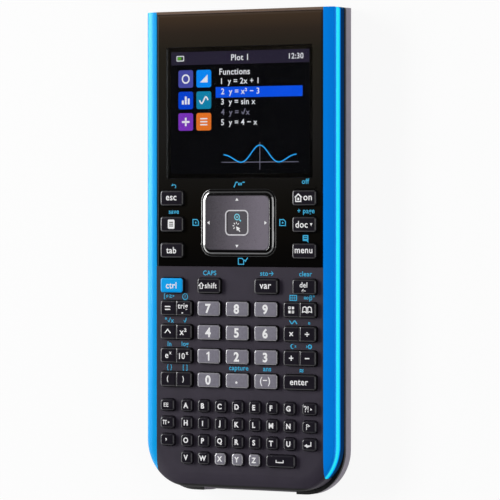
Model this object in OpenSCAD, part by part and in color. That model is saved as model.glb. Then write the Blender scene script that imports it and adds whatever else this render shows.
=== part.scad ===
// Handheld graphing calculator with a touchpad, lying on its back with its slide cover stored underneath.
// X runs across, Y along the length towards the top end, Z up through the front face.
// The origin is under the middle of the whole object, on the slide cover's outer face.

/* [Body] */
// Width over the side trims
body_w = 89.2; // [84:0.2:110]
// Length of the handheld without its cover
body_l = 190.5; // [188:0.5:230]
// Thickness of the handheld from back face to front face
body_t = 14.2; // [14:0.1:18]
// Plan radius of the two bottom corners
corner_r = 18.5; // [16:0.5:22]
// Plan radius of the two top corners
top_corner_r = 1.2; // [0.6:0.1:1.4]
// Wall of the front and rear cases
case_wall = 1.8; // [1.6:0.1:2.2]
// Assembly gap between fixed pieces
fit = 0.05; // [0.02:0.01:0.1]

/* [Side trims] */
// Width of a trim on the front face
trim_w = 5.5; // [4:0.1:7]
// Height of a trim on the side
trim_h = 6.7; // [6:0.1:8]
// Wall of a trim
trim_t = 1.3; // [1:0.1:1.5]
// Slope that the crowned front reaches at its rounded edge, in degrees
edge_slope = 17; // [12:0.5:22]
// Radius of the front edge
edge_r = 1.8; // [1.6:0.1:2.4]

/* [Face panel and display] */
// Strip of case between the function keys and the panel
panel_strip = 4.65; // [3.8:0.05:5.4]
// Strip of case left above the panel
panel_top_strip = 1.2; // [1:0.1:2]
// Thickness of the panel
panel_t = 1.3; // [1.2:0.1:1.5]
// How far the panel stands proud of the case
panel_proud = 0.2; // [0:0.1:0.4]
// Width of the bevel round the panel
panel_bevel = 0.9; // [0.5:0.1:1.2]
// Active width of the display
display_w = 65; // [60:0.5:68]
// Active height of the display
display_h = 48.8; // [45:0.1:52]
// Distance from the top end to the middle of the display
display_from_top = 40.7; // [38:0.1:44]
// Black border round the active area
display_border = 1.3; // [1:0.1:1.6]

/* [Touchpad] */
// Width of the ring round the pad
ring_band = 2.7; // [2.2:0.1:3]
// Width of the level rim at the ring's outside
ring_rim = 1; // [0.6:0.1:1.2]
// Width of the pad
pad_w = 29.6; // [24:0.2:36]
// Height of the pad
pad_h = 21.4; // [18:0.2:23]
// How far the pad stands above the front face
pad_proud = 1.4; // [1:0.1:1.6]
// Travel of the pad
pad_travel = 0.4; // [0.2:0.1:0.4]

/* [Keys] */
// How far the keys stand above the case
key_proud = 1.6; // [1.2:0.1:2]
// Travel of a key
key_travel = 0.6; // [0.4:0.1:0.6]
// Clearance round a key
key_gap = 0.2; // [0.15:0.05:0.25]
// Clearance at the ends of a rocker key, which tilts
rocker_gap = 0.35; // [0.3:0.05:0.4]
// Edge chamfer of a key cap
key_chamfer = 0.45; // [0.3:0.05:0.6]
// Width of a single key
key_w = 10.9; // [9:0.1:11.4]
// Height of a key
key_h = 6.1; // [5:0.1:6.4]
// Width of a rocker key and of the enter key
rocker_w = 15; // [12.5:0.1:15.4]
// Gap between the number keys across
num_gap_x = 2.5; // [2:0.1:2.8]
// Gap between the number keys along
num_gap_y = 3.4; // [3:0.1:3.6]
// Gap between the number block and the rocker columns
rocker_space = 2.65; // [2:0.05:2.8]
// Gap between the number block and the function row
func_gap = 3; // [2.4:0.1:3.6]
// Gap between the panel's lower edge and the system keys
sys_edge = 3.35; // [2.8:0.05:4]
// Gap between the system keys
sys_gap = 4.35; // [3.8:0.05:4.6]
// Width of a letter key
letter_w = 5.45; // [4.5:0.05:5.8]
// Height of a letter key
letter_h = 5.05; // [4.2:0.05:5.2]
// Gap between the letter keys across
letter_gap_x = 2.58; // [2:0.01:2.7]
// Gap between the letter keys along
letter_gap_y = 1.92; // [1.6:0.01:2.1]
// Height of the lowest letter row's middle above the bottom end
letter_y = 11.75; // [11.7:0.05:12.5]
// Gap between the letter rows and the number block
block_gap = 4.85; // [4:0.05:5.6]
// Width of the space bar
space_w = 13.4; // [12:0.1:14]

/* [Slide cover] */
// How far the cover's sides lie inside the trims
cover_inset = 0.4; // [0.2:0.1:1]
// Wall of the slide cover
cover_wall = 1.5; // [1.3:0.1:1.8]
// Section radius of the cover's long edges
cover_edge_r = 5; // [4:0.1:5.5]
// Gap between the cover's floor and the back face
cover_floor_gap = 0.8; // [0.7:0.1:1]
// Sliding gap at the cover's sides
cover_side_gap = 0.3; // [0.2:0.05:0.4]
// Gap between the cover's closed end and the handheld
cover_end_gap = 0.2; // [0.1:0.05:0.4]
// Gap between the cover's rim and the trims
cover_rim_gap = 1.3; // [0.4:0.1:1.6]
// Width of the cover's guide lips
lip_w = 1.3; // [1:0.1:1.5]
// Thickness of the guide lips
lip_t = 0.9; // [0.8:0.1:1.1]
// Width of the thumb notch in the closed end
notch_w = 44; // [36:1:48]
// Height of the wall left under the thumb notch
notch_floor = 3.2; // [2.6:0.1:4]

/* [Inside] */
// Thickness of the main board
board_t = 1.2; // [1:0.1:1.2]
// Width of the battery
battery_w = 54; // [50:1:56]
// Height of the battery along the case
battery_h = 38; // [34:1:40]
// Thickness of the battery
battery_t = 4.3; // [4:0.1:4.4]
// Height of the battery's middle above the bottom end
battery_y = 121; // [120:1:124]
// Width of the battery cover
bay_cover_w = 66; // [65:0.5:68]
// Height of the battery cover
bay_cover_h = 45; // [44:0.5:47]
// Diameter of the case screws
screw_d = 2; // [1.8:0.1:2.2]
// Diameter of the rubber feet
foot_d = 8; // [6:0.5:9]
// How far the feet stand out of the back
foot_proud = 0.5; // [0.4:0.1:0.5]

/* [Hidden] */
$fn = 72;

// Overlap given to cutting tools and joined blocks
over = 1;

// Heights
back_z = cover_wall + cover_floor_gap;
front_z = back_z + body_t;
split_z = front_z - trim_h;
rim_z = split_z - cover_rim_gap;
panel_floor_z = front_z + panel_proud - panel_t;
ceiling_z = panel_floor_z - case_wall;
flange_t = 0.7;
flange_play = 0.2;
key_base_z = ceiling_z - flange_t - flange_play;
rocker_play = 0.05;
rocker_base_z = key_base_z - rocker_play;
key_top_z = front_z + key_proud;
dome_gap = 0.1;
dome_top_z = key_base_z - key_travel - dome_gap;
sheet_t = 0.5;
dome_h = 0.3;
board_top_z = dome_top_z - dome_h - sheet_t;
board_z = board_top_z - board_t;

// Plan: the handheld's two ends and the cover's closed end
y_shift = (cover_wall + cover_end_gap) / 2;
bottom_y = y_shift - body_l / 2;
top_y = y_shift + body_l / 2;
cover_y = bottom_y - cover_wall - cover_end_gap;
half_w = body_w / 2;
trim_x = half_w - trim_w;
corner_x = half_w - corner_r;
corner_y = bottom_y + corner_r;
crown_lead = 0.4;
crown_w = trim_w + crown_lead;
cavity_half = half_w - trim_t - fit - case_wall;
cavity_r = corner_r - case_wall;
cover_half = half_w - cover_inset;
cover_r = cover_half - corner_x;
cover_corner_y = cover_y + cover_r;
rear_r = cover_r - cover_wall - cover_side_gap;
rear_edge_r = cover_edge_r - cover_wall - cover_side_gap;
groove_x = corner_x + rear_r - lip_w;
lip_gap = 0.3;
groove_z = rim_z - lip_t - lip_gap;
lip_end = 2;
seam_inset = 0.3;
seam_half = cover_half - seam_inset;
seam_r = seam_half - corner_x;
notch_chamfer = 3;

// Face panel, display and touchpad
panel_gap = 0.1;
panel_half = trim_x - panel_gap;
letter_pitch_x = letter_w + letter_gap_x;
letter_pitch_y = letter_h + letter_gap_y;
num_pitch_x = key_w + num_gap_x;
num_pitch_y = key_h + num_gap_y;
sys_pitch = key_h + sys_gap;
num_y = letter_y + 3 * letter_pitch_y + (letter_h + key_h) / 2 + block_gap;
func_y = num_y + 3 * num_pitch_y + key_h + func_gap;
panel_y = func_y + key_h / 2 + panel_strip;
sys_y = panel_y + sys_edge + key_h / 2;
rocker_x = num_pitch_x + (key_w + rocker_w) / 2 + rocker_space;
outer_x = rocker_x + (rocker_w - key_w) / 2;
panel_bottom_y = bottom_y + panel_y;
panel_top_y = top_y - panel_top_strip;
panel_z = front_z + panel_proud;
panel_bevel_drop = 0.5;
display_y = top_y - display_from_top;
glass_w = display_w + 2 * display_border;
glass_h = display_h + 2 * display_border;
glass_z = panel_floor_z - fit;
frame_t = 1;
ledge = 0.5;
lens_w = glass_w + 2 * ledge;
lens_h = glass_h + 2 * ledge;
lens_r = 0.6;
lens_drop = 0.05;
module_flange = 2.4;
ring_shift = 0.6;
ring_y = bottom_y + sys_y + sys_pitch + ring_shift;
ring_w = pad_w + 2 * ring_band;
ring_h = pad_h + 2 * ring_band;
pad_r = 2.2;
ring_r = pad_r + ring_band;
ring_step = 0.1;
ring_rim_z = panel_z + ring_step;
ring_inner_slope = 12;
pad_gap = 0.2;
pad_top_z = front_z + pad_proud;
ring_top_z = pad_top_z - ring_step;
pad_flange = 1.6;
pad_hole_w = pad_w + 2 * pad_gap;
pad_hole_h = pad_h + 2 * pad_gap;
pad_hole_r = pad_r + pad_gap;
pad_dish_w = 10.9;
pad_dish_h = 10.2;
pad_dish_r = 1.2;
pad_dish_depth = 0.15;

// Key footprints: [x, y, width, height, corner radius, clearance across]
key_r = 1.1;
letter_r = 1.3;
crown_x = 0.16;
crown_y = 0.12;
flange = 0.5;
function single(x, y) = [x, bottom_y + y, key_w, key_h, key_r, key_gap];
function rocker(x, y) = [x, bottom_y + y, rocker_w, key_h, key_r, rocker_gap];
function num(col, row) = single((col - 1) * num_pitch_x, num_y + row * num_pitch_y);
function letter_row(row) = bottom_y + letter_y + row * letter_pitch_y;
function letter(col, row) =
    [(col - 3) * letter_pitch_x, letter_row(row), letter_w, letter_h, letter_r, key_gap];
side_w = 6.6;
side_h = letter_h - 0.2;
side_x = 33.3;
function side(s, row) = [s * side_x, letter_row(row), side_w, side_h, key_r, key_gap];
sys_left = [for (r = [2, 1, 0]) single(-outer_x, sys_y + r * sys_pitch)];
sys_right = [for (r = [2, 1, 0]) single(outer_x, sys_y + r * sys_pitch)];
func_keys = [for (x = [-outer_x, -num_pitch_x, num_pitch_x, outer_x]) single(x, func_y)];
rockers_left = [for (r = [3, 2, 1, 0]) rocker(-rocker_x, num_y + r * num_pitch_y)];
rockers_right = [for (r = [3, 2, 1]) rocker(rocker_x, num_y + r * num_pitch_y)];
enter = [rocker_x, bottom_y + num_y, rocker_w, key_h, key_r, key_gap];
num_keys = [for (r = [3, 2, 1, 0], c = [0, 1, 2]) num(c, r)];
space = [2.5 * letter_pitch_x, bottom_y + letter_y, space_w, letter_h, letter_r, key_gap];
letter_keys = [for (r = [1, 2, 3], c = [0:6]) letter(c, r)];
last_letters = [for (c = [0:4]) letter(c, 0)];
side_keys = [for (s = [-1, 1], r = [1, 2, 3]) side(s, r)];
panel_keys = concat(sys_left, sys_right);
small_keys = concat(letter_keys, last_letters, [space], side_keys);
press_keys = concat(panel_keys, func_keys, [enter], num_keys, small_keys);
rocker_keys = concat(rockers_left, rockers_right);
rocker_groove_w = 1;
rocker_groove_depth = 0.35;
rib_l = 9.6;
rib_w = 0.9;
rib_h = 0.4;
rib_gap = 0.9;
rib_y = bottom_y + sys_y + 2 * sys_pitch + key_h / 2 + key_gap + rib_gap;

// Case screws: a pair at the top end, one behind the panel's lower edge and one at the bottom end
post_r = 3.2;
post_gap = 0.1;
screw_r = screw_d / 2;
thread_gap = 0.02;
screw_play = 0.15;
head_r = screw_d * 0.95;
head_h = 1.4;
head_seat = 2.1;
thread_depth = 1.2;
slot_w = 0.4;
slot_reach = 1.3;
screw_places = [[half_w - 10.6, body_l - 6.6], [22, panel_y - 0.6], [20, 5.3]];
screw_spots = [for (s = [-1, 1], p = screw_places) [s * p[0], bottom_y + p[1]]];

// Battery bay
battery_mid_y = bottom_y + battery_y;
battery_r = 1.2;
battery_lift = 0.2;
bay_gap = 0.5;
bay_wall = 1.2;
bay_roof = 0.8;
bay_w = battery_w + 2 * bay_gap;
bay_h = battery_h + 2 * bay_gap;
bay_cover_t = 1.5;
bay_cover_r = 2;
bay_cover_gap = 0.15;
bay_ledge_t = 1.2;
bay_ledge_w = 1.5;
bay_screw_x = (bay_cover_w / 2 + battery_w / 2 + bay_gap) / 2;
bay_screw_r = 0.8;
bay_screw_l = 4;
bay_head_r = 1.5;
bay_head_h = 0.7;
bay_head_seat = 0.8;
bay_boss_r = 2.4;

// Feet, reset button, socket, light and dock contacts
foot_seat = 0.6;
foot_from_end = 17;
foot_shift = 6.5;
foot_x = corner_x + foot_shift;
foot_spots = [for (s = [-1, 1], y = [bottom_y + foot_from_end, top_y - foot_from_end]) [s * foot_x, y]];
reset_spot = [-24, top_y - 34];
reset_r = 1.3;
reset_gap = 0.1;
reset_sunk = 0.3;
reset_travel = 0.5;
reset_flange = 1;
usb_w = 7.7;
usb_h = 3.6;
usb_l = 9;
usb_gap = 0.2;
usb_sunk = 0.3;
usb_lift = 0.1;
usb_z = split_z + usb_lift;
usb_wall = 0.35;
usb_back = 1.5;
tongue_w = 5.2;
tongue_t = 0.8;
light_x = 14;
light_r = 0.9;
light_l = 4;
light_play = 0.1;
light_z = ceiling_z - light_r - light_play;
dock_w = 24;
dock_h = 3;
dock_l = 5;
dock_z = 4.6;
dock_sunk = 0.4;
contact_w = 1.2;
contact_pitch = 2.4;

// Board, its packages as [x, y above the bottom end, width, height], and the membrane
board_gap = 0.6;
chips = [[-14, 62, 15, 15], [10, 64, 12, 9], [-8, 38, 9, 11], [14, 40, 7, 7]];
chip_t = 1.1;
chip_r = 0.4;
pad_switch_r = 2.5;
membrane_inset = 2.5;
membrane_end = 1.5;
membrane_window = 2;
dome_r = 1.6;
rocker_dome_r = 1.4;
ridge_w = 0.8;
ridge_l = 3;

// Colours
dark_grey = "#2C2930";
gloss_black = "#14110F";
metal_blue = "#0A86E0";
key_black = "#1F1D22";
key_grey = "#6B6970";
key_blue = "#12A0F0";
cover_grey = "#8A8086";

// ---- Shared shapes ----

// Rounded rectangle in plan, centred
module rounded_rect(w, h, r) {
    square([w - 2 * r, h], center = true);
    square([w, h - 2 * r], center = true);
    for (x = [-1, 1], y = [-1, 1])
        translate([x * (w / 2 - r), y * (h / 2 - r)])
            circle(r);
}

// Rounded block standing between two heights
module block(w, h, r, z0, z1) {
    translate([0, 0, z0])
        linear_extrude(z1 - z0)
            rounded_rect(w, h, r);
}

// Carries a profile round the two bottom corners of the plan. The profile's first axis is the
// distance out from the corner's centre, its second is height.
module sweep(cx, cy, end_y) {
    for (m = [0, 1])
        mirror([m, 0, 0]) {
            translate([cx, end_y, 0])
                rotate([90, 0, 0])
                    linear_extrude(end_y - cy)
                        children();
            translate([cx, cy, 0])
                rotate([0, 0, -90])
                    rotate_extrude(angle = 90)
                        children();
        }
    translate([cx, cy, 0])
        rotate([90, 0, -90])
            linear_extrude(2 * cx)
                children();
}

// Tub profile: straight wall, rounded lower edge
module tub_profile(r, edge, z0, z1) {
    polygon([[0, z0], [r - edge, z0], [r - edge, z0 + edge], [r, z0 + edge], [r, z1], [0, z1]]);
    translate([r - edge, z0 + edge])
        intersection() {
            circle(edge);
            translate([0, -edge])
                square(edge);
        }
}

// Solid tub with rounded lower edges and two rounded bottom corners
module tub(r, edge, z0, z1, end_y) {
    sweep(corner_x, cover_corner_y, end_y)
        tub_profile(r, edge, z0, z1);
    translate([-corner_x, cover_corner_y, z0])
        cube([2 * corner_x, end_y - cover_corner_y, z1 - z0]);
}

// Edge profile of the front: flat, then a wide crown that starts just inside the trim and runs
// tangent into a rounded edge and a straight side. Sunk by an inset, both arcs keep their centres.
module edge_profile(inset, z0) {
    r = edge_r - inset;
    crown_r = edge_r + (crown_w - edge_r) / sin(edge_slope);
    su = corner_r - crown_w;
    sz = front_z - crown_r;
    uc = corner_r - edge_r;
    zc = sz + (crown_r - edge_r) * cos(edge_slope);
    tu = uc + r * sin(edge_slope);
    top = front_z - inset;
    polygon([[0, z0], [uc + r, z0], [uc + r, zc], [su, zc], [su, top], [0, top]]);
    intersection() {
        translate([uc, zc])
            circle(r);
        translate([tu, zc])
            square(r);
    }
    intersection() {
        translate([su, sz])
            circle(crown_r - inset);
        translate([su, zc])
            square([tu - su, top - zc]);
    }
}

// The front half's outer form, or the same form sunk by an inset
module front_form(inset, z0) {
    sweep(corner_x, corner_y, top_y)
        edge_profile(inset, z0);
    translate([-corner_x, corner_y, z0])
        cube([2 * corner_x, top_y - corner_y, front_z - inset - z0]);
}

// Rounds the top corners of a form that fills the body's width
module top_corner_cut(half) {
    for (m = [0, 1])
        mirror([m, 0, 0])
            translate([half, top_y, 0])
                difference() {
                    translate([-top_corner_r, -top_corner_r, -over])
                        cube([top_corner_r + over, top_corner_r + over, front_z + 2 * over]);
                    translate([-top_corner_r, -top_corner_r, -2 * over])
                        cylinder(r = top_corner_r, h = front_z + 4 * over);
                }
}

// Plan block with two rounded bottom corners, for cavities and the board
module inner_block(half, y0, y1, r, z0, z1) {
    translate([0, 0, z0])
        linear_extrude(z1 - z0) {
            translate([-half, y0 + r])
                square([2 * half, y1 - y0 - r]);
            translate([r - half, y0])
                square([2 * (half - r), r + over]);
            for (s = [-1, 1])
                translate([s * (half - r), y0 + r])
                    circle(r);
        }
}

module at_each(spots) {
    for (p = spots)
        translate([p[0], p[1], 0])
            children();
}

// ---- Casings ----

// Openings for every key, cut through the front wall
module key_openings(keys, z0, z1) {
    translate([0, 0, z0])
        linear_extrude(z1 - z0)
            for (k = keys)
                translate([k[0], k[1]])
                    rounded_rect(k[2] + 2 * k[5], k[3] + 2 * key_gap, k[4] + key_gap);
}

// Seat of a side trim: what lies outside the inner form, beyond the trim's inner edge
module trim_seat() {
    difference() {
        translate([trim_x - fit, bottom_y - over, split_z - over])
            cube([trim_w + over, body_l + 2 * over, trim_h + 2 * over]);
        front_form(trim_t + fit, split_z - 2 * over);
    }
}

module front_case() {
    color(dark_grey) {
        difference() {
            front_form(0, split_z);
            for (m = [0, 1])
                mirror([m, 0, 0])
                    trim_seat();
            inner_block(cavity_half, bottom_y + case_wall, top_y - case_wall, cavity_r,
                split_z - over, ceiling_z);
            translate([-half_w, panel_bottom_y - fit, panel_floor_z])
                cube([body_w, panel_top_y - panel_bottom_y + 2 * fit, panel_t + over]);
            translate([0, display_y, 0])
                block(glass_w + 2 * fit, glass_h + 2 * fit, lens_r, ceiling_z - over, front_z);
            translate([0, ring_y, 0])
                block(pad_hole_w, pad_hole_h, pad_hole_r, ceiling_z - over, front_z);
            key_openings(concat(press_keys, rocker_keys), ceiling_z - over, front_z + over);
            usb_opening();
            translate([light_x, top_y, light_z])
                rotate([90, 0, 0])
                    cylinder(r = light_r + fit, h = case_wall * 3, center = true);
            at_each(screw_spots)
                thread_hole();
        }
        difference() {
            at_each(screw_spots)
                translate([0, 0, board_top_z + post_gap])
                    cylinder(r = post_r, h = ceiling_z - board_top_z + post_gap);
            at_each(screw_spots)
                thread_hole();
        }
    }
}

module thread_hole() {
    translate([0, 0, split_z])
        cylinder(r = screw_r + thread_gap, h = ceiling_z + thread_depth - split_z);
}

// Opening in the end wall, and room for the socket where it reaches the front wall
module usb_opening() {
    translate([-usb_w / 2 - usb_gap, top_y - case_wall - over, split_z - over])
        cube([usb_w + 2 * usb_gap, case_wall + 2 * over, usb_z + usb_h + usb_gap - split_z + over]);
    translate([-usb_w / 2 - usb_gap, top_y - usb_sunk - usb_l - usb_gap, split_z - over])
        cube([usb_w + 2 * usb_gap, usb_l, usb_z + usb_h + fit - split_z + over]);
}

module side_trim() {
    color(metal_blue)
        difference() {
            intersection() {
                front_form(0, split_z);
                translate([trim_x, bottom_y - over, split_z - over])
                    cube([trim_w + over, body_l + 2 * over, trim_h + 2 * over]);
            }
            front_form(trim_t, split_z - over);
            top_corner_cut(half_w);
        }
}

module side_trim_right() {
    side_trim();
}

module side_trim_left() {
    mirror([1, 0, 0])
        side_trim();
}

// Glossy plate with bevels along its sides and top
module face_panel() {
    l = panel_top_y - panel_bottom_y;
    run = panel_bevel;
    drop = panel_bevel_drop;
    color(gloss_black) {
        difference() {
            intersection() {
                translate([0, panel_top_y, 0])
                    rotate([90, 0, 0])
                        linear_extrude(l)
                            polygon([
                                [-panel_half, panel_floor_z], [panel_half, panel_floor_z],
                                [panel_half, panel_z - drop], [panel_half - run, panel_z],
                                [run - panel_half, panel_z], [-panel_half, panel_z - drop]
                            ]);
                translate([-panel_half - over, 0, 0])
                    rotate([90, 0, 90])
                        linear_extrude(2 * (panel_half + over))
                            polygon([
                                [panel_bottom_y, panel_floor_z], [panel_top_y, panel_floor_z],
                                [panel_top_y, panel_z - drop], [panel_top_y - run, panel_z],
                                [panel_bottom_y, panel_z]
                            ]);
            }
            translate([0, display_y, 0])
                block(lens_w + 2 * fit, lens_h + 2 * fit, lens_r, panel_floor_z - over, panel_z + over);
            translate([0, ring_y, 0])
                block(ring_w + 2 * fit, ring_h + 2 * fit, ring_r + fit, panel_floor_z - over, panel_z + over);
            key_openings(panel_keys, panel_floor_z - over, panel_z + over);
        }
        translate([outer_x, rib_y, 0])
            block(rib_l, rib_w, rib_w / 2 - 0.01, panel_z - rib_h, panel_z + rib_h);
    }
}

module display_lens() {
    color("#20242A", 0.4)
        translate([0, display_y, 0])
            block(lens_w, lens_h, lens_r, panel_floor_z + fit, panel_z - lens_drop);
}

// Display glass on a pressed frame whose flange lies under the front wall
module display_module() {
    frame_z = ceiling_z - flange_play;
    frame_w = glass_w + 2 * module_flange;
    frame_h = glass_h + 2 * module_flange;
    translate([0, display_y, 0]) {
        color("#101418")
            block(glass_w - 2 * fit, glass_h - 2 * fit, lens_r, frame_z, glass_z);
        color("silver")
            block(frame_w, frame_h, frame_t, frame_z - frame_t, frame_z);
    }
}

// Carries a profile round a rounded rectangle, the profile's x being the distance from the centre
// of each corner
module frame_sweep(w, h, r) {
    cx = w / 2 - r;
    cy = h / 2 - r;
    for (m = [0, 1])
        mirror([m, 0, 0]) {
            for (n = [0, 1])
                mirror([0, n, 0])
                    translate([cx, cy, 0])
                        rotate_extrude(angle = 90)
                            children();
            translate([cx, cy, 0])
                rotate([90, 0, 0])
                    linear_extrude(2 * cy)
                        children();
        }
    for (m = [0, 1])
        mirror([0, m, 0])
            translate([-cx, cy, 0])
                rotate([90, 0, 90])
                    linear_extrude(2 * cx)
                        children();
}

// Section of the ring: a level rim, then an arc that rises from its foot to the pad's edge, where
// the inner slope is left. The arc's foot slope and radius follow from its run and its rise.
module ring_profile() {
    run = ring_r - ring_rim - pad_hole_r;
    foot_slope = 2 * atan((ring_top_z - ring_rim_z) / run) - ring_inner_slope;
    arc_r = run / (sin(foot_slope) - sin(ring_inner_slope));
    arc_z = ring_top_z - arc_r * cos(ring_inner_slope);
    translate([pad_hole_r, panel_floor_z])
        square([ring_r - pad_hole_r, ring_rim_z - panel_floor_z]);
    intersection() {
        translate([pad_hole_r - arc_r * sin(ring_inner_slope), arc_z])
            circle(arc_r);
        translate([pad_hole_r, max(arc_z, panel_floor_z)])
            square([run, ring_top_z - max(arc_z, panel_floor_z)]);
    }
}

module touchpad_ring() {
    color(gloss_black)
        translate([0, ring_y, 0])
            frame_sweep(ring_w, ring_h, ring_r)
                ring_profile();
}

module touchpad() {
    color("#4A464C")
        translate([0, ring_y, 0])
            difference() {
                union() {
                    block(pad_w, pad_h, pad_r, key_base_z, pad_top_z);
                    block(pad_w + 2 * pad_flange, pad_h + 2 * pad_flange, pad_r,
                        key_base_z, key_base_z + flange_t);
                }
                block(pad_dish_w, pad_dish_h, pad_dish_r, pad_top_z - pad_dish_depth, pad_top_z + over);
            }
}

// Post that clamps the board from behind, with room for a sunk screw head
module rear_post() {
    translate([0, 0, back_z])
        cylinder(r = post_r, h = board_z - post_gap - back_z);
}

module screw_hole() {
    translate([0, 0, back_z - over])
        cylinder(r = screw_r + screw_play, h = board_z - back_z + 2 * over);
    translate([0, 0, back_z - over])
        cylinder(r = head_r + screw_play, h = head_seat + over);
}

// Flange round the rear half that closes the seam between the trims and the cover's rim
module seam_flange() {
    difference() {
        inner_block(seam_half, corner_y - seam_r, top_y, seam_r, rim_z + lip_gap, split_z);
        top_corner_cut(seam_half);
    }
}

module rear_case() {
    floor_z = back_z + case_wall;
    ledge_z = back_z + bay_cover_t;
    boss_h = bay_head_seat + bay_screw_l - case_wall + thread_gap;
    color(dark_grey)
        difference() {
            union() {
                difference() {
                    union() {
                        difference() {
                            tub(rear_r, rear_edge_r, back_z, split_z, top_y);
                            top_corner_cut(corner_x + rear_r);
                        }
                        seam_flange();
                    }
                    inner_block(groove_x - case_wall, bottom_y + 2 * case_wall, top_y - case_wall,
                        rear_r - case_wall, floor_z, split_z + over);
                }
                at_each(screw_spots)
                    rear_post();
                translate([0, battery_mid_y, 0]) {
                    block(bay_cover_w + 2 * bay_ledge_w, bay_cover_h + 2 * bay_ledge_w, bay_cover_r,
                        back_z + over, ledge_z + bay_ledge_t);
                    block(bay_w + 2 * bay_wall, bay_h + 2 * bay_wall, battery_r + bay_wall, floor_z, split_z);
                    for (s = [-1, 1])
                        translate([s * bay_screw_x, 0, floor_z])
                            cylinder(r = bay_boss_r, h = boss_h + bay_wall);
                }
            }
            for (s = [-1, 1])
                translate([s > 0 ? groove_x : -groove_x - 2 * lip_w, cover_y - over, groove_z])
                    cube([2 * lip_w, body_l + 3 * over + cover_wall, rim_z + lip_gap - groove_z]);
            translate([0, battery_mid_y, 0]) {
                block(bay_cover_w + 2 * bay_cover_gap, bay_cover_h + 2 * bay_cover_gap,
                    bay_cover_r + bay_cover_gap, back_z - over, ledge_z);
                block(bay_w, bay_h, battery_r, back_z - over, split_z - bay_roof);
                for (s = [-1, 1])
                    translate([s * bay_screw_x, 0, back_z])
                        cylinder(r = bay_screw_r + thread_gap, h = case_wall + boss_h);
            }
            inner_block(cavity_half, bottom_y + case_wall, top_y - case_wall, cavity_r,
                board_z - post_gap, split_z + over);
            at_each(screw_spots)
                screw_hole();
            at_each(foot_spots)
                translate([0, 0, back_z - over])
                    cylinder(r = foot_d / 2 + fit, h = foot_seat + over);
            translate([reset_spot[0], reset_spot[1], back_z - over])
                cylinder(r = reset_r + reset_gap, h = case_wall + 2 * over);
            translate([-dock_w / 2 - fit, bottom_y - over, dock_z - fit])
                cube([dock_w + 2 * fit, dock_l + dock_sunk + 2 * over, dock_h + 2 * fit]);
        }
}

module battery_cover() {
    color(dark_grey)
        translate([0, battery_mid_y, 0])
            difference() {
                block(bay_cover_w, bay_cover_h, bay_cover_r, back_z, back_z + bay_cover_t);
                for (s = [-1, 1])
                    translate([s * bay_screw_x, 0, back_z - over]) {
                        cylinder(r = bay_screw_r + screw_play, h = bay_cover_t + 2 * over);
                        cylinder(r = bay_head_r + screw_play, h = bay_head_seat + over);
                    }
            }
}

module battery_cover_screws() {
    color("silver")
        for (s = [-1, 1])
            translate([s * bay_screw_x, battery_mid_y, 0]) {
                difference() {
                    translate([0, 0, back_z + bay_head_seat - bay_head_h])
                        cylinder(r = bay_head_r, h = bay_head_h);
                    cross_slot(slot_reach * bay_head_r, back_z + bay_head_seat - bay_head_h, bay_head_h / 2);
                }
                translate([0, 0, back_z + bay_head_seat])
                    cylinder(r = bay_screw_r, h = bay_screw_l);
            }
}

// Cross recess of a screw head that faces down
module cross_slot(l, z, depth) {
    for (a = [0, 90])
        rotate([0, 0, a])
            translate([-l / 2, -slot_w / 2, z - over])
                cube([l, slot_w, depth + over]);
}

module battery() {
    base_z = back_z + bay_cover_t + battery_lift;
    color("#3A4A5C")
        translate([0, battery_mid_y, 0])
            block(battery_w, battery_h, battery_r, base_z, base_z + battery_t);
}

module case_screws() {
    seat_z = back_z + head_seat;
    color("silver")
        at_each(screw_spots) {
            difference() {
                translate([0, 0, seat_z - head_h])
                    cylinder(r = head_r, h = head_h);
                cross_slot(slot_reach * head_r, seat_z - head_h, head_h / 2);
            }
            translate([0, 0, seat_z])
                cylinder(r = screw_r, h = ceiling_z + thread_depth - post_gap - seat_z);
        }
}

module rubber_feet() {
    color("#1A1A1C")
        at_each(foot_spots)
            translate([0, 0, back_z - foot_proud])
                cylinder(r = foot_d / 2, h = foot_proud + foot_seat);
}

// ---- Inside ----

module main_board() {
    wall = case_wall + board_gap;
    color("#1E5C38")
        difference() {
            union() {
                inner_block(cavity_half - board_gap, bottom_y + wall, top_y - wall, cavity_r - board_gap,
                    board_z, board_top_z);
                translate([0, ring_y, board_z])
                    cylinder(r = pad_switch_r, h = key_base_z - pad_travel - dome_gap - board_z);
                translate([reset_spot[0], reset_spot[1], board_z - reset_gap])
                    cylinder(r = reset_r + reset_flange, h = board_t);
                for (chip = chips)
                    translate([chip[0], bottom_y + chip[1], 0])
                        block(chip[2], chip[3], chip_r, board_z - chip_t, board_z + fit);
            }
            translate([-usb_w / 2 - usb_gap, top_y - usb_l - usb_sunk - usb_gap, board_z - over])
                cube([usb_w + 2 * usb_gap, usb_l + over, board_t + 2 * over]);
            at_each(screw_spots)
                translate([0, 0, board_z - over])
                    cylinder(r = screw_r + 2 * screw_play, h = board_t + 2 * over);
        }
}

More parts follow.
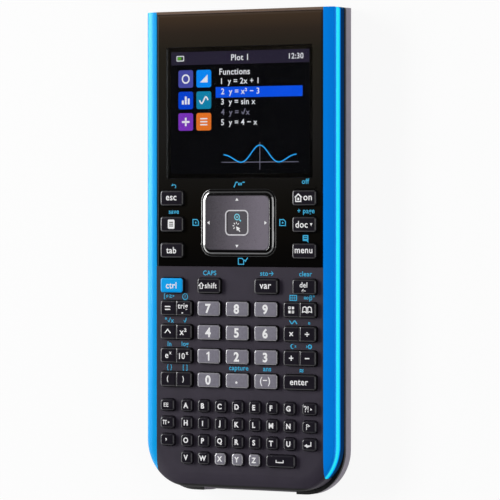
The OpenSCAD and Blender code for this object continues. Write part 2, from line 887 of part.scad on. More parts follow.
// Silicone sheet with a dome under each key and two under each rocker
module keypad_membrane() {
    sheet_y = bottom_y + case_wall + membrane_inset;
    sheet_end_y = bottom_y + sys_y + 2 * sys_pitch + key_h / 2 + membrane_end;
    window_w = pad_w + 2 * (pad_flange + membrane_window);
    window_h = pad_h + 2 * (pad_flange + membrane_window);
    color("#B8BCC0") {
        difference() {
            inner_block(cavity_half - membrane_inset, sheet_y, sheet_end_y, cavity_r - membrane_inset,
                board_top_z, board_top_z + sheet_t);
            at_each(screw_spots)
                translate([0, 0, board_top_z - over])
                    cylinder(r = post_r + board_gap, h = sheet_t + 2 * over);
            translate([0, ring_y, 0])
                block(window_w, window_h, pad_r, board_top_z - over, board_top_z + sheet_t + over);
        }
        for (k = press_keys)
            translate([k[0], k[1], board_top_z])
                cylinder(r = dome_r, h = sheet_t + dome_h);
        for (k = rocker_keys)
            translate([k[0], k[1], board_top_z]) {
                for (s = [-1, 1])
                    translate([s * rocker_w / 4, 0, 0])
                        cylinder(r = rocker_dome_r, h = sheet_t + dome_h - dome_gap);
                translate([-ridge_w / 2, -ridge_l / 2, 0])
                    cube([ridge_w, ridge_l, rocker_base_z - dome_gap - board_top_z]);
            }
    }
}

module usb_socket() {
    y0 = top_y - usb_l - usb_sunk;
    color("silver")
        difference() {
            translate([-usb_w / 2, y0, usb_z])
                cube([usb_w, usb_l, usb_h]);
            translate([-usb_w / 2 + usb_wall, y0 + usb_back, usb_z + usb_wall])
                cube([usb_w - 2 * usb_wall, usb_l, usb_h - 2 * usb_wall]);
        }
    color("#202020")
        translate([-tongue_w / 2, y0 + usb_back / 2, usb_z + (usb_h - tongue_t) / 2])
            cube([tongue_w, usb_l - 2 * usb_back, tongue_t]);
}

module status_light() {
    color("#D8F0D8")
        translate([light_x, top_y - fit, light_z])
            rotate([90, 0, 0])
                cylinder(r = light_r, h = light_l);
}

module dock_connector() {
    groove = contact_w / 2;
    color("#202020")
        difference() {
            translate([-dock_w / 2, bottom_y + dock_sunk, dock_z])
                cube([dock_w, dock_l, dock_h]);
            for (i = [-4:4])
                translate([i * contact_pitch - contact_w / 2, bottom_y, dock_z + groove])
                    cube([contact_w, dock_sunk + groove, dock_h - 2 * groove]);
        }
}

module reset_button() {
    color("#3A3A3E")
        translate([reset_spot[0], reset_spot[1], 0]) {
            translate([0, 0, back_z + reset_sunk])
                cylinder(r = reset_r, h = board_z - 2 * reset_gap - reset_travel - reset_sunk - back_z);
            translate([0, 0, back_z + case_wall + reset_gap])
                cylinder(r = reset_r + reset_flange, h = flange_t);
        }
}

// Hard shell stored on the back: floor, C-shaped sides with guide lips, closed bottom end
module slide_cover() {
    lip_x = corner_x + cover_r - cover_wall - lip_w;
    color(cover_grey) {
        difference() {
            tub(cover_r, cover_edge_r, 0, rim_z, top_y);
            tub(cover_r - cover_wall, cover_edge_r - cover_wall, cover_wall, rim_z + over, top_y + over);
            translate([0, cover_y, notch_floor])
                rotate([90, 0, 0])
                    linear_extrude(cover_edge_r * 2, center = true)
                        polygon([
                            [notch_chamfer - notch_w / 2, 0], [notch_w / 2 - notch_chamfer, 0],
                            [notch_w / 2, notch_chamfer], [notch_w / 2, rim_z],
                            [-notch_w / 2, rim_z], [-notch_w / 2, notch_chamfer]
                        ]);
            top_corner_cut(cover_half);
        }
        for (m = [0, 1])
            mirror([m, 0, 0])
                translate([lip_x, cover_corner_y, rim_z - lip_t])
                    cube([lip_w + cover_wall / 2, top_y - cover_corner_y - lip_end, lip_t]);
    }
}

// ---- Keys ----

// Chamfered, slightly crowned outline of a cap's top
module crown_profile(w, rise, z0, z1) {
    r = (w * w / 4 + rise * rise) / (2 * rise);
    c = key_chamfer;
    intersection() {
        translate([0, z1 - r])
            circle(r, $fn = 180);
        polygon([
            [-w / 2, z0], [w / 2, z0], [w / 2, z1 - rise - c],
            [w / 2 - c, z1], [c - w / 2, z1], [-w / 2, z1 - rise - c]
        ]);
    }
}

// Cap of the footprint k, between two heights
module cap(k, z0, z1) {
    intersection() {
        block(k[2], k[3], k[4], z0, z1);
        rotate([90, 0, 0])
            linear_extrude(k[3] + over, center = true)
                crown_profile(k[2], crown_x, z0, z1);
        rotate([90, 0, 90])
            linear_extrude(k[2] + over, center = true)
                crown_profile(k[3], crown_y, z0, z1);
    }
}

// Key that presses straight down, kept in by a flange under the front wall
module key(k, tint) {
    color(tint)
        translate([k[0], k[1], 0]) {
            cap(k, key_base_z, key_top_z);
            block(k[2] + 2 * flange, k[3] + 2 * flange, k[4], key_base_z, key_base_z + flange_t);
        }
}

// Key that rocks to either side of a shallow groove
module rocker_key(k) {
    color(key_black)
        translate([k[0], k[1], 0]) {
            difference() {
                cap(k, rocker_base_z, key_top_z);
                translate([0, 0, key_top_z])
                    rotate([90, 0, 0])
                        linear_extrude(k[3] + over, center = true)
                            polygon([
                                [-rocker_groove_w / 2, over / 10], [0, -rocker_groove_depth],
                                [rocker_groove_w / 2, over / 10]
                            ]);
            }
            block(k[2] + 2 * flange, k[3] + 2 * flange, k[4],
                rocker_base_z, rocker_base_z + flange_t - 2 * rocker_play);
        }
}

module key_group(keys, tint) {
    for (k = keys)
        key(k, tint);
}

module key_escape() key(sys_left[0], key_black);
module key_notes() key(sys_left[1], key_black);
module key_tab() key(sys_left[2], key_black);
module key_on() key(sys_right[0], key_black);
module key_documents() key(sys_right[1], key_black);
module key_menu() key(sys_right[2], key_black);
module key_control() key(func_keys[0], key_blue);
module key_shift() key(func_keys[1], key_black);
module key_variable() key(func_keys[2], key_black);
module key_delete() key(func_keys[3], key_black);
module key_equals_trig() rocker_key(rockers_left[0]);
module key_power_square() rocker_key(rockers_left[1]);
module key_exponentials() rocker_key(rockers_left[2]);
module key_brackets() rocker_key(rockers_left[3]);
module key_template_catalog() rocker_key(rockers_right[0]);
module key_times_divide() rocker_key(rockers_right[1]);
module key_plus_minus() rocker_key(rockers_right[2]);
module key_enter() key(enter, key_black);
module key_seven() key(num_keys[0], key_grey);
module key_eight() key(num_keys[1], key_grey);
module key_nine() key(num_keys[2], key_grey);
module key_four() key(num_keys[3], key_grey);
module key_five() key(num_keys[4], key_grey);
module key_six() key(num_keys[5], key_grey);
module key_one() key(num_keys[6], key_grey);
module key_two() key(num_keys[7], key_grey);
module key_three() key(num_keys[8], key_grey);
module key_zero() key(num_keys[9], key_grey);
module key_point() key(num_keys[10], key_grey);
module key_negative() key(num_keys[11], key_grey);
module letter_keys_a_to_g() key_group([for (c = [0:6]) letter(c, 3)], key_black);
module letter_keys_h_to_n() key_group([for (c = [0:6]) letter(c, 2)], key_black);
module letter_keys_o_to_u() key_group([for (c = [0:6]) letter(c, 1)], key_black);
module letter_keys_v_w() key_group([for (c = [0, 1]) letter(c, 0)], key_black);
module letter_keys_x_y_z() key_group([for (c = [2:4]) letter(c, 0)], key_grey);
module key_space() key(space, key_black);
module side_keys_left() key_group([for (r = [3, 2, 1]) side(-1, r)], key_black);
module side_keys_right() key_group([for (r = [3, 2, 1]) side(1, r)], key_black);

// ---- Assembly ----

front_case();
face_panel();
display_lens();
display_module();
side_trim_left();
side_trim_right();
touchpad_ring();
touchpad();
rear_case();
battery_cover();
battery_cover_screws();
battery();
case_screws();
rubber_feet();
main_board();
keypad_membrane();
slide_cover();
usb_socket();
status_light();
dock_connector();
reset_button();
key_escape();
key_notes();
key_tab();
key_on();
key_documents();
key_menu();
key_control();
key_shift();
key_variable();
key_delete();
key_equals_trig();
key_power_square();
key_exponentials();
key_brackets();
key_template_catalog();
key_times_divide();
key_plus_minus();
key_enter();
key_seven();
key_eight();
key_nine();
key_four();
key_five();
key_six();
key_one();
key_two();
key_three();
key_zero();
key_point();
key_negative();
letter_keys_a_to_g();
letter_keys_h_to_n();
letter_keys_o_to_u();
letter_keys_v_w();
letter_keys_x_y_z();
key_space();
side_keys_left();
side_keys_right();
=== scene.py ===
import math

import bmesh
import bpy
import numpy as np
from mathutils import Matrix, Vector


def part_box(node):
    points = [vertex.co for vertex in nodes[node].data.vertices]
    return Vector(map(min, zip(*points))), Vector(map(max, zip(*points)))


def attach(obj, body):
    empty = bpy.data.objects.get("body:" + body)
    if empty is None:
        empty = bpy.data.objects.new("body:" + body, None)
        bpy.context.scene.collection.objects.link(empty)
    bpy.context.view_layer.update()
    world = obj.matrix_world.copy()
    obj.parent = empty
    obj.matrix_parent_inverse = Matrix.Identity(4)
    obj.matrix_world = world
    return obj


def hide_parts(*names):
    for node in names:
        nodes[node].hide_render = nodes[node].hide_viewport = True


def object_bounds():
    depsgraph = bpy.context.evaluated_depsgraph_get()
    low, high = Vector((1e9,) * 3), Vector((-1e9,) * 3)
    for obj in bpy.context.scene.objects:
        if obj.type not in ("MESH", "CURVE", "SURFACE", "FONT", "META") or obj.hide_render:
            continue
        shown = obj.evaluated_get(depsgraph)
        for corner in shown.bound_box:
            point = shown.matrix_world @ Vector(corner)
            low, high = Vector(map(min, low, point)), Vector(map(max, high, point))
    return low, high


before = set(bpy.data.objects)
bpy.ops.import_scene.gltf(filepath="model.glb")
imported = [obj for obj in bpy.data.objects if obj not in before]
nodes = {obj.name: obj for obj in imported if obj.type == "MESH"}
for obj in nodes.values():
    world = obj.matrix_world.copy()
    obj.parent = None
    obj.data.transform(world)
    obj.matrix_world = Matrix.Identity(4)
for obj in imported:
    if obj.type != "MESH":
        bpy.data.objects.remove(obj)  # the calculator as constructed, lying face up, in metres
cadLow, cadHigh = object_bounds()
cadMiddle = (cadLow + cadHigh) / 2
scene = bpy.context.scene
scene.view_settings.view_transform = "Standard"
mm = 0.001
caseLow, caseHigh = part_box("front_case")
panelLow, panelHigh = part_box("face_panel")
lensLow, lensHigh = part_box("display_lens")
padLow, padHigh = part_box("touchpad")
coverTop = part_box("slide_cover")[1].z

markForm = {
    "single": 0.036, "word": 0.014, "screen": 0.012,  # thickening of the lettering, as a share of its size
    "spacing": 1.07, "letter": 2.9, "onCap": 0.05, "onFace": 0.04,  # the last two are thicknesses
}
numberKeys = dict(zip("seven eight nine four five six one two three zero".split(), "7894561230"))

# What each key carries: marks on its cap, and blue marks above it for the second function.
# A mark is a text or a drawn sign, with its place from the cap's middle and its size, in mm.
keyMarks = {
    "key_escape": {"cap": [("esc", 0, 0, 3.8)], "above": [("undo", 0.4, 4.7, 2.3)]},
    "key_notes": {"cap": [("sheetSign", 0, 0, 3.7)], "above": [("save", 0.4, 4.8, 2.7)]},
    "key_tab": {"cap": [("tab", 0, 0, 3.6)]},
    "key_on": {"cap": [("home", -2.4, 0.1, 3.5), ("on", 1.9, -0.1, 3.8)], "above": [("off", 0.1, 6.5, 2.9)]},
    "key_documents": {
        "cap": [("doc", -0.9, 0, 3.7), ("▾", 3.5, -0.1, 3.4)],
        "above": [("+ page", 0.3, 4.9, 2.8)]},
    "key_menu": {"cap": [("menu", 0, 0, 3.6)], "above": [("listSign", 0.1, 5.1, 2.7)]},
    "key_control": {"cap": [("ctrl", 0, 0, 3.6)]},
    "key_shift": {
        "cap": [("⇧", -3.3, 0.1, 3.3), ("shift", 1.2, 0.1, 3.1)],
        "above": [("CAPS", -0.3, 5.1, 2.6)]},
    "key_variable": {"cap": [("var", 0, 0, 3.9)], "above": [("sto→", -0.2, 5.1, 2.8)]},
    "key_delete": {"cap": [("del", 0, 0.8, 2.9), ("←", 0, -1.6, 2.6)], "above": [("clear", 0, 5.1, 2.8)]},
    "key_equals_trig": {
        "cap": [("equalSign", -3.75, 0, 2.6), ("trig", 3.5, 0.5, 3.2), ("▸", 3.4, -1.9, 2.4)],
        "above": [("[≠≥▸", -4.0, 4.6, 2.5), ("?", 3.6, 4.6, 1.9), ("ringSign", 3.6, 4.6, 2.7)]},
    "key_power_square": {
        "cap": [("caretSign", -3.75, 0.1, 2.7), ("x²", 3.6, 0.1, 3.8)],
        "above": [("ⁿ√x", -3.9, 4.6, 2.6), ("√", 3.6, 4.6, 2.7)]},
    "key_exponentials": {
        "cap": [("e", -4.2, -0.3, 3.5), ("x", -2.5, 0.9, 2.2), ("10", 3.1, -0.2, 3.3), ("x", 5.5, 0.9, 2.2)],
        "above": [("ln", -3.9, 4.6, 2.7), ("log", 3.6, 4.4, 2.7)]},
    "key_brackets": {
        "cap": [("(", -3.75, 0, 2.8), (")", 3.6, 0, 2.8)],
        "above": [("{ }", -3.9, 4.6, 2.5), ("[ ]", 3.6, 4.6, 2.5)]},
    "key_template_catalog": {
        "cap": [("gridSign", -3.6, 0, 3.3), ("bookSign", 3.7, 0, 3.8)],
        "above": [("tableSign", -3.6, 4.7, 2.3), ("∞β°", 3.7, 4.6, 2.6)]},
    "key_times_divide": {
        "cap": [("×", -3.6, 0, 3.9), ("÷", 3.7, 0, 4.2)],
        "above": [("waveSign", -3.6, 4.6, 2.6), ("°", 3.7, 4.3, 3.4)]},
    "key_plus_minus": {
        "cap": [("+", -3.6, 0, 4.0), ("−", 3.7, 0, 4.2)],
        "above": [("dimSign", -3.6, 4.6, 2.3), ("brightSign", 3.7, 4.6, 2.3)]},
    "key_enter": {"cap": [("enter", 0, 0, 3.6)], "above": [("≈", 0.2, 4.6, 3.4)]},
    **{"key_" + name: {"cap": [(digit, -0.1, 0, 5.0)]} for name, digit in numberKeys.items()},
    "key_point": {"cap": [(".", -0.1, -0.7, 6.5)], "above": [("capture", 0, 4.6, 2.8)]},
    "key_negative": {"cap": [("(−)", -0.1, 0, 3.9)], "above": [("ans", -0.1, 4.7, 2.8)]},
    "letter_keys_a_to_g": {"letters": "ABCDEFG"}, "letter_keys_h_to_n": {"letters": "HIJKLMN"},
    "letter_keys_o_to_u": {"letters": "OPQRSTU"}, "letter_keys_v_w": {"letters": "VW"},
    "letter_keys_x_y_z": {"letters": "XYZ"},
    "key_space": {"cap": [("spaceSign", 0, -0.2, 3.0)]},
    "side_keys_left": {"column": [("EE", 2.3), ("piSign", 2.2), (",", 4.2)]},
    "side_keys_right": {"column": [("askSign", 2.6), ("flagSign", 2.3), ("returnSign", 2.7)]},
}
greyKeys = ["key_" + name for name in numberKeys] + ["key_point", "key_negative", "letter_keys_x_y_z"]


def linearColour(hexText):
    # an sRGB hex colour as the linear value that the shaders take
    values = np.array([int(hexText[i:i + 2], 16) for i in (1, 3, 5)]) / 255
    linear = np.where(values <= 0.04045, values / 12.92, ((values + 0.055) / 1.055) ** 2.4)
    return (*linear.tolist(), 1.0)


def addNode(tree, kind, sockets=None, **fields):
    # Fields are the node's own settings. A socket is given a value, a hex text being a colour, or a
    # link from another node's socket, or from a node's first output in use.
    node = tree.nodes.new("ShaderNode" + kind)
    for field, value in fields.items():
        setattr(node, field, value)
    for socket, value in (sockets or {}).items():
        if isinstance(value, bpy.types.Node):
            value = next(output for output in value.outputs if output.enabled)
        if isinstance(value, bpy.types.NodeSocket):
            tree.links.new(value, node.inputs[socket])
        else:
            node.inputs[socket].default_value = linearColour(value) if isinstance(value, str) else value
    return node


def addObject(name, data):
    made = bpy.data.objects.new(name, data)
    scene.collection.objects.link(made)
    return made


def openFinish(name):
    # an empty material and the Object coordinates for its patterns
    finish = bpy.data.materials.new(name)
    finish.use_nodes = True
    tree = finish.node_tree
    tree.nodes.clear()
    return finish, tree, addNode(tree, "TexCoord").outputs["Object"]


def closeFinish(finish, sockets, rough=None, grain=None):
    # Puts the shader at the end of the patterns. Its roughness follows the grain, from one value of
    # the pair to the other.
    tree = finish.node_tree
    if rough:
        sockets["Roughness"] = addNode(tree, "MapRange", {"To Min": rough[0], "To Max": rough[1],
                                                          "Value": grain})
    addNode(tree, "OutputMaterial", {"Surface": addNode(tree, "BsdfPrincipled", sockets)})
    return finish


# Moulded and painted plastics: two tones that drift into each other over the patch size, a fine
# grain that breaks up the gloss, both sizes in mm. Noise scale is in waves per metre, so it is one
# over the size.
plastics = {
    # ABS from a spark-eroded tool: charcoal, matte, with a sandy sparkle
    "caseAbs": dict(low="#28232F", high="#37303E", patch=9.0, grain=0.32, bump=0.1, rough=(0.5, 0.66),
                    shine=0.22),
    # the caps' lower body, moulded black and matte; its near black on the walls and lip is also painted shade
    # for the gaps round the keys
    "capBody": dict(low="#09080A", high="#0F0E11", patch=3.0, grain=0.22, bump=0.05, rough=(0.35, 0.45),
                    shine=0.2),
    # ABS from a polished tool under a hard clear lacquer: near black, with bright sharp reflections
    "ringGloss": dict(low="#0D0C0D", high="#121112", patch=14.0, grain=1.5, bump=0.004, rough=(0.07, 0.12),
                      shine=1.0, index=1.9),
    # ABS caps with a satin lacquer: black with a faint violet tone, soft lights on the edges
    "capBlack": dict(low="#19161E", high="#27242C", patch=3.0, grain=0.22, bump=0.05, rough=(0.14, 0.2),
                     shine=0.36),
    # the caps' edges: smoother than the tops, and paler all round as a painted highlight
    "edgeHighlightBlack": dict(low="#2C2A2E", high="#3A383B", patch=1.5, grain=0.22, bump=0.02, rough=(0.13, 0.18),
                      shine=0.6),
    "edgeHighlightGrey": dict(low="#827F88", high="#98959E", patch=1.2, grain=0.3, bump=0.03, rough=(0.14, 0.2),
                     shine=1.0, index=1.7),
    # the same satin lacquer over a grey and over a bright blue moulding
    "capGrey": dict(low="#76737E", high="#908D9A", patch=1.2, grain=0.3, bump=0.1, rough=(0.18, 0.28)),
    "capBlue": dict(low="#00A6F6", high="#04B0FF", patch=3.0, grain=0.22, bump=0.05, rough=(0.2, 0.3),
                    shine=0.25),
    # hard shell of the slide cover: warm mid grey, matte, with a painted black shade along the rim where it
    # meets the case
    "coverAbs": dict(low="#8A838F", high="#968F9B", patch=12.0, grain=0.35, bump=0.1, rough=(0.5, 0.62),
                     bands=[("Z", coverTop - 1.3 * mm, coverTop - 0.9 * mm, "#0A090C", 0.0)]),
    # moulded nylon of the dock and the reset button
    "dockNylon": dict(low="#1A1A1C", high="#242427", patch=2.0, grain=0.2, bump=0.06, rough=(0.45, 0.6)),
    # rubber feet: black, dull, slightly dusty
    "footRubber": dict(low="#161617", high="#222224", patch=2.0, grain=0.3, bump=0.1, rough=(0.75, 0.9)),
    # silicone sheet under the keys: milky grey
    "domeSilicone": dict(low="#ABAFB4", high="#BEC2C6", patch=6.0, grain=0.5, bump=0.05, rough=(0.55, 0.7)),
    # shrink wrap of the battery: plain slate, half gloss
    "batteryWrap": dict(low="#344456", high="#3E5063", patch=8.0, grain=0.8, bump=0.05, rough=(0.3, 0.45)),
}
# the same ABS on the front case, with a painted warm brown reflection along its top edge and a painted black
# shade under its bottom edge
plastics["caseFront"] = {**plastics["caseAbs"], "bands": [
    ("Y", panelHigh.y, panelHigh.y + 0.3 * mm, "#6E5848", caseHigh.z - 2.0 * mm),
    ("Y", caseLow.y + 1.5 * mm, caseLow.y + 0.9 * mm, "#060506", 0.0)]}


def mouldedPlastic(name):
    look = plastics[name]
    finish, tree, place = openFinish(name)
    patches = addNode(tree, "TexNoise", {"Scale": 1 / (look["patch"] * mm), "Detail": 3.0, "Vector": place})
    grain = addNode(tree, "TexNoise", {"Scale": 1 / (look["grain"] * mm), "Detail": 2.0, "Vector": place})
    tone = addNode(tree, "Mix", {"A": look["low"], "B": look["high"], "Factor": patches}, data_type="RGBA")
    for axis, start, end, colour, lowest in look.get("bands", []):  # only above the height lowest
        axes = addNode(tree, "SeparateXYZ", {"Vector": place}).outputs
        above = addNode(tree, "Math", {0: axes["Z"], 1: lowest}, operation="GREATER_THAN")
        share = addNode(tree, "MapRange", {"From Min": start, "From Max": end, "Value": axes[axis],
                                           "To Max": above})
        tone = addNode(tree, "Mix", {"A": tone, "B": colour, "Factor": share}, data_type="RGBA")
    relief = addNode(tree, "Bump", {"Strength": look["bump"], "Distance": look["grain"] * mm,
                                    "Height": grain})
    return closeFinish(finish, {"IOR": look.get("index", 1.5), "Specular IOR Level": look.get("shine", 0.5),
                                "Base Color": tone, "Normal": relief}, look["rough"], grain)


# Finishes with one pattern: two tones over patches of a size in mm. Two roughnesses follow the
# same patches where they are given.
patchyLooks = {
    # plated steel of the screws and tinned sheet of the socket: bright, faintly tarnished
    "screwSteel": dict(tones=("#8F9094", "#B4B5B8"), patch=1.2, rough=(0.28, 0.476), shader={"Metallic": 1}),
    "socketTin": dict(tones=("#A2A4A8", "#C2C4C8"), patch=1.2, rough=(0.22, 0.374), shader={"Metallic": 1}),
    # milky acrylic rod that carries the charging light to the top end
    "lightPipe": dict(tones=("#C9DECB", "#E0F0E0"), patch=0.6,
                      shader={"Roughness": 0.25, "Subsurface Weight": 0.3}),
    # pad-printed two-part inks: solid, a little thinner in places, dull gloss
    **{name: dict(tones=tones, patch=0.5, shader={"Roughness": 0.5, "IOR": 1.5}) for name, tones in {
        "inkWhite": ("#F6F5F8", "#FFFFFF"), "inkBlue": ("#16A8DA", "#2CC2F2"),
        "inkSilver": ("#D0CED4", "#E6E4E8"), "inkShade": ("#38323B", "#453F48"),
        "inkCyan": ("#5CC4DC", "#86E0F2")}.items()},
}


def patchyFinish(name):
    look = patchyLooks[name]
    finish, tree, place = openFinish(name)
    patches = addNode(tree, "TexNoise", {"Scale": 1 / (look["patch"] * mm), "Vector": place,
                                         "Detail": 3.0 if "rough" in look else 2.0})
    tone = addNode(tree, "Mix", {**dict(zip("AB", look["tones"])), "Factor": patches}, data_type="RGBA")
    return closeFinish(finish, {**look["shader"], "Base Color": tone}, look.get("rough"), patches)


# The panel's colour fades from a painted warm reflection at the top end to black lower down.
panelLook = {"fade": [(0, "#47382B"), (7, "#342B24"), (15, "#28251F"), (50, "#201F1E"), (80, "#13110E"),
                      (100, "#0A0909")],  # colours at distances below the top end, in mm
             "rough": (0.06, 0.108), "haze": 30.0}


def panelAcrylic():
    # Smoked acrylic face plate, cast and polished: black, with a painted warm reflection that lightens it
    # towards the top end.
    finish, tree, place = openFinish("panelAcrylic")
    reach = panelLook["fade"][-1][0]
    along = addNode(tree, "SeparateXYZ", {"Vector": place}).outputs["Y"]
    tone = addNode(tree, "ValToRGB", {"Fac": addNode(tree, "MapRange", {
        "From Min": panelHigh.y, "From Max": panelHigh.y - reach * mm, "Value": along})})
    stops = tone.color_ramp.elements
    for number, (distance, colour) in enumerate(panelLook["fade"]):
        stop = stops[number] if number < 2 else stops.new(distance / reach)
        stop.position = distance / reach
        stop.color = linearColour(colour)
    haze = addNode(tree, "TexNoise", {"Scale": 1 / (panelLook["haze"] * mm), "Vector": place})
    return closeFinish(finish, {"IOR": 1.49, "Specular IOR Level": 0.3, "Base Color": tone},
                       panelLook["rough"], haze)


# left and right: the front's blue on each trim; the left one is lighter and greener as painted light from the
# lamp on that side
trimLook = {"left": "#00AAF6", "right": "#018BFB", "flake": 0.12, "metal": (0.05, 1.0), "rough": (0.2, 0.32),
            # from and to, in mm below the front face: a painted cyan highlight onto the edge, back to the
            # front's blue, a painted navy shade onto the side
            "layers": [(1.1, 1.75, "#34EEFF"), (3.0, 3.6, None), (3.7, 4.4, "#021E4C")],
            "shader": {"Specular IOR Level": 0.22, "Specular Tint": "#98DCFF", "Coat Weight": 0.03,
                       "Coat Roughness": 0.12, "Coat IOR": 1.5}}


def trimLacquer():
    # Blue candy lacquer over a metallised moulding, sprayed: azure and half opaque on the front, a
    # little greener as painted light on the left trim, mirror-bright metal over the rounded edge with a
    # painted cyan highlight, and a painted navy shade down the side.
    finish, tree, place = openFinish("trimLacquer")
    axes = addNode(tree, "SeparateXYZ", {"Vector": place}).outputs
    across = addNode(tree, "MapRange", {"From Min": cadLow.x, "From Max": cadHigh.x, "Value": axes["X"]})
    azure = addNode(tree, "Mix", {"A": trimLook["left"], "B": trimLook["right"], "Factor": across},
                    data_type="RGBA")
    tone, shares = azure, []
    for start, end, colour in trimLook["layers"]:
        shares.append(addNode(tree, "MapRange", {
            "From Min": caseHigh.z - start * mm, "From Max": caseHigh.z - end * mm, "Value": axes["Z"]},
            interpolation_type="SMOOTHSTEP"))
        tone = addNode(tree, "Mix", {"Factor": shares[-1], "A": tone, "B": colour or azure}, data_type="RGBA")
    paint, bare = trimLook["metal"]
    metal = addNode(tree, "MapRange", {"To Min": paint, "To Max": bare, "Value": shares[0]})
    flakes = addNode(tree, "TexNoise", {"Scale": 1 / (trimLook["flake"] * mm), "Detail": 1.0,
                                        "Vector": place})
    return closeFinish(finish, {**trimLook["shader"], "Base Color": tone, "Metallic": metal},
                       trimLook["rough"], flakes)


# left and right: a painted gradient of light across the pad, dark at the left, lit at the right
padLook = {"left": "#0E0C10", "right": "#807985", "speck": 0.34, "speckShare": 0.35, "bump": 0.12,
           "rough": (0.24, 0.36)}


def padPaint():
    # Pewter paint with fine flakes on the touchpad, with a dusty sparkle; the grey lightens across from left
    # to right as painted light.
    finish, tree, place = openFinish("padPaint")
    across = addNode(tree, "SeparateXYZ", {"Vector": place}).outputs["X"]
    share = addNode(tree, "MapRange", {"From Min": padLow.x, "From Max": padHigh.x, "Value": across})
    specks = addNode(tree, "TexNoise", {"Scale": 1 / (padLook["speck"] * mm), "Detail": 1.0, "Vector": place})
    mixed = addNode(tree, "Math", {0: specks, 1: padLook["speckShare"], 2: share}, operation="MULTIPLY_ADD")
    tone = addNode(tree, "Mix", {"A": padLook["left"], "B": padLook["right"], "Factor": mixed},
                   data_type="RGBA")
    relief = addNode(tree, "Bump", {"Strength": padLook["bump"], "Distance": padLook["speck"] * mm,
                                    "Height": specks})
    return closeFinish(finish, {"Metallic": 0.15, "IOR": 1.5, "Base Color": tone, "Normal": relief},
                       padLook["rough"], specks)


lensLook = {"haze": 25.0, "rough": (0.01, 0.03)}  # haze in mm


def lensClear():
    # Hard-coated polycarbonate window: clear, with a sharp reflection and the faintest haze.
    finish, tree, place = openFinish("lensClear")
    haze = addNode(tree, "TexNoise", {"Scale": 1 / (lensLook["haze"] * mm), "Vector": place})
    return closeFinish(finish, {"Base Color": "#F4F6F8", "IOR": 1.5, "Transmission Weight": 1.0},
                       lensLook["rough"], haze)


boardLook = {"weave": 0.6, "low": "#1B5434", "high": "#20603C"}  # weave in mm


def boardGreen():
    # Solder resist on glass fibre: green, half gloss, the weave's squares just showing through.
    finish, tree, place = openFinish("boardGreen")
    weave = addNode(tree, "TexChecker", {"Scale": 1 / (boardLook["weave"] * mm), "Vector": place,
                                         "Color1": boardLook["low"], "Color2": boardLook["high"]})
    return closeFinish(finish, {"Roughness": 0.35, "IOR": 1.52, "Base Color": weave})


rowLook = {"pitch": 0.3948, "gap": 0.94}  # mm between the rows, and the share of light between them


def screenColour(name, colour):
    # Lit liquid crystal: the colour glows by itself, row by row. The rows are twice as far apart as
    # real ones, so that they can show. The texture makes a wave every pi/10 over its scale.
    finish, tree, place = openFinish(name)
    rows = addNode(tree, "TexWave", {"Scale": math.pi / 10 / (rowLook["pitch"] * mm), "Vector": place},
                   bands_direction="Y")
    light = addNode(tree, "MapRange", {"To Min": rowLook["gap"], "Value": rows.outputs["Fac"]})
    return closeFinish(finish, {"Base Color": "#050506", "Roughness": 0.2, "Specular IOR Level": 0.2,
                                "Emission Color": colour, "Emission Strength": light})


finishes = {finish.name: finish for finish in [
    *map(mouldedPlastic, plastics), *map(patchyFinish, patchyLooks),
    panelAcrylic(), trimLacquer(), padPaint(), lensClear(), boardGreen()]}
print("finishes made:", len(finishes))

cadFinish = {
    "caseFront": ["front_case"], "caseAbs": ["rear_case", "battery_cover"], "panelAcrylic": ["face_panel"],
    "ringGloss": ["display_module"], "lensClear": ["display_lens"], "padPaint": ["touchpad"],
    "trimLacquer": ["side_trim_left", "side_trim_right"], "coverAbs": ["slide_cover"],
    "screwSteel": ["battery_cover_screws", "case_screws"], "socketTin": ["usb_socket"],
    "batteryWrap": ["battery"], "footRubber": ["rubber_feet"], "boardGreen": ["main_board"],
    "domeSilicone": ["keypad_membrane"], "lightPipe": ["status_light"],
    "dockNylon": ["dock_connector", "reset_button"],
}
for finishName, members in cadFinish.items():
    for member in members:
        for slot in nodes[member].material_slots:
            slot.material = finishes[finishName]


def arc(radius, x=0.0, y=0.0, start=0.0, end=360.0, steps=28):
    # points on a circle or a part of one, angles in degrees
    angle = np.radians(np.linspace(start, end, steps + 1))[:steps + (abs(end - start) < 360)]
    return np.column_stack([x + radius * np.cos(angle), y + radius * np.sin(angle)])


def roundBox(width, height, radius, x=0.0, y=0.0, steps=6):
    # four quarter arcs round the corners of a rectangle, joined in order
    inX, inY = width / 2 - radius, height / 2 - radius
    return np.vstack([arc(radius, x + sx * inX, y + sy * inY, turn, turn + 90, steps)
                      for sx, sy, turn in ((1, 1, 0), (-1, 1, 90), (-1, -1, 180), (1, -1, 270))])


def stroke(points, width=0.13):
    # The outline of a pen stroke: the path shifted half the width to the left, and back on the right.
    # At each point the shift is along the mean of the two neighbouring normals, drawn out at a bend.
    points = np.asarray(points, float)
    ahead = np.diff(points, axis=0)
    ahead /= np.linalg.norm(ahead, axis=1)[:, None]
    before, after = np.vstack([ahead[:1], ahead]), np.vstack([ahead, ahead[-1:]])
    mean = before + after
    mean /= np.linalg.norm(mean, axis=1)[:, None]
    reach = width / 2 / np.maximum((mean * after).sum(1), 0.4)
    side = np.column_stack([-mean[:, 1], mean[:, 0]]) * reach[:, None]
    return np.vstack([points + side, (points - side)[::-1]])


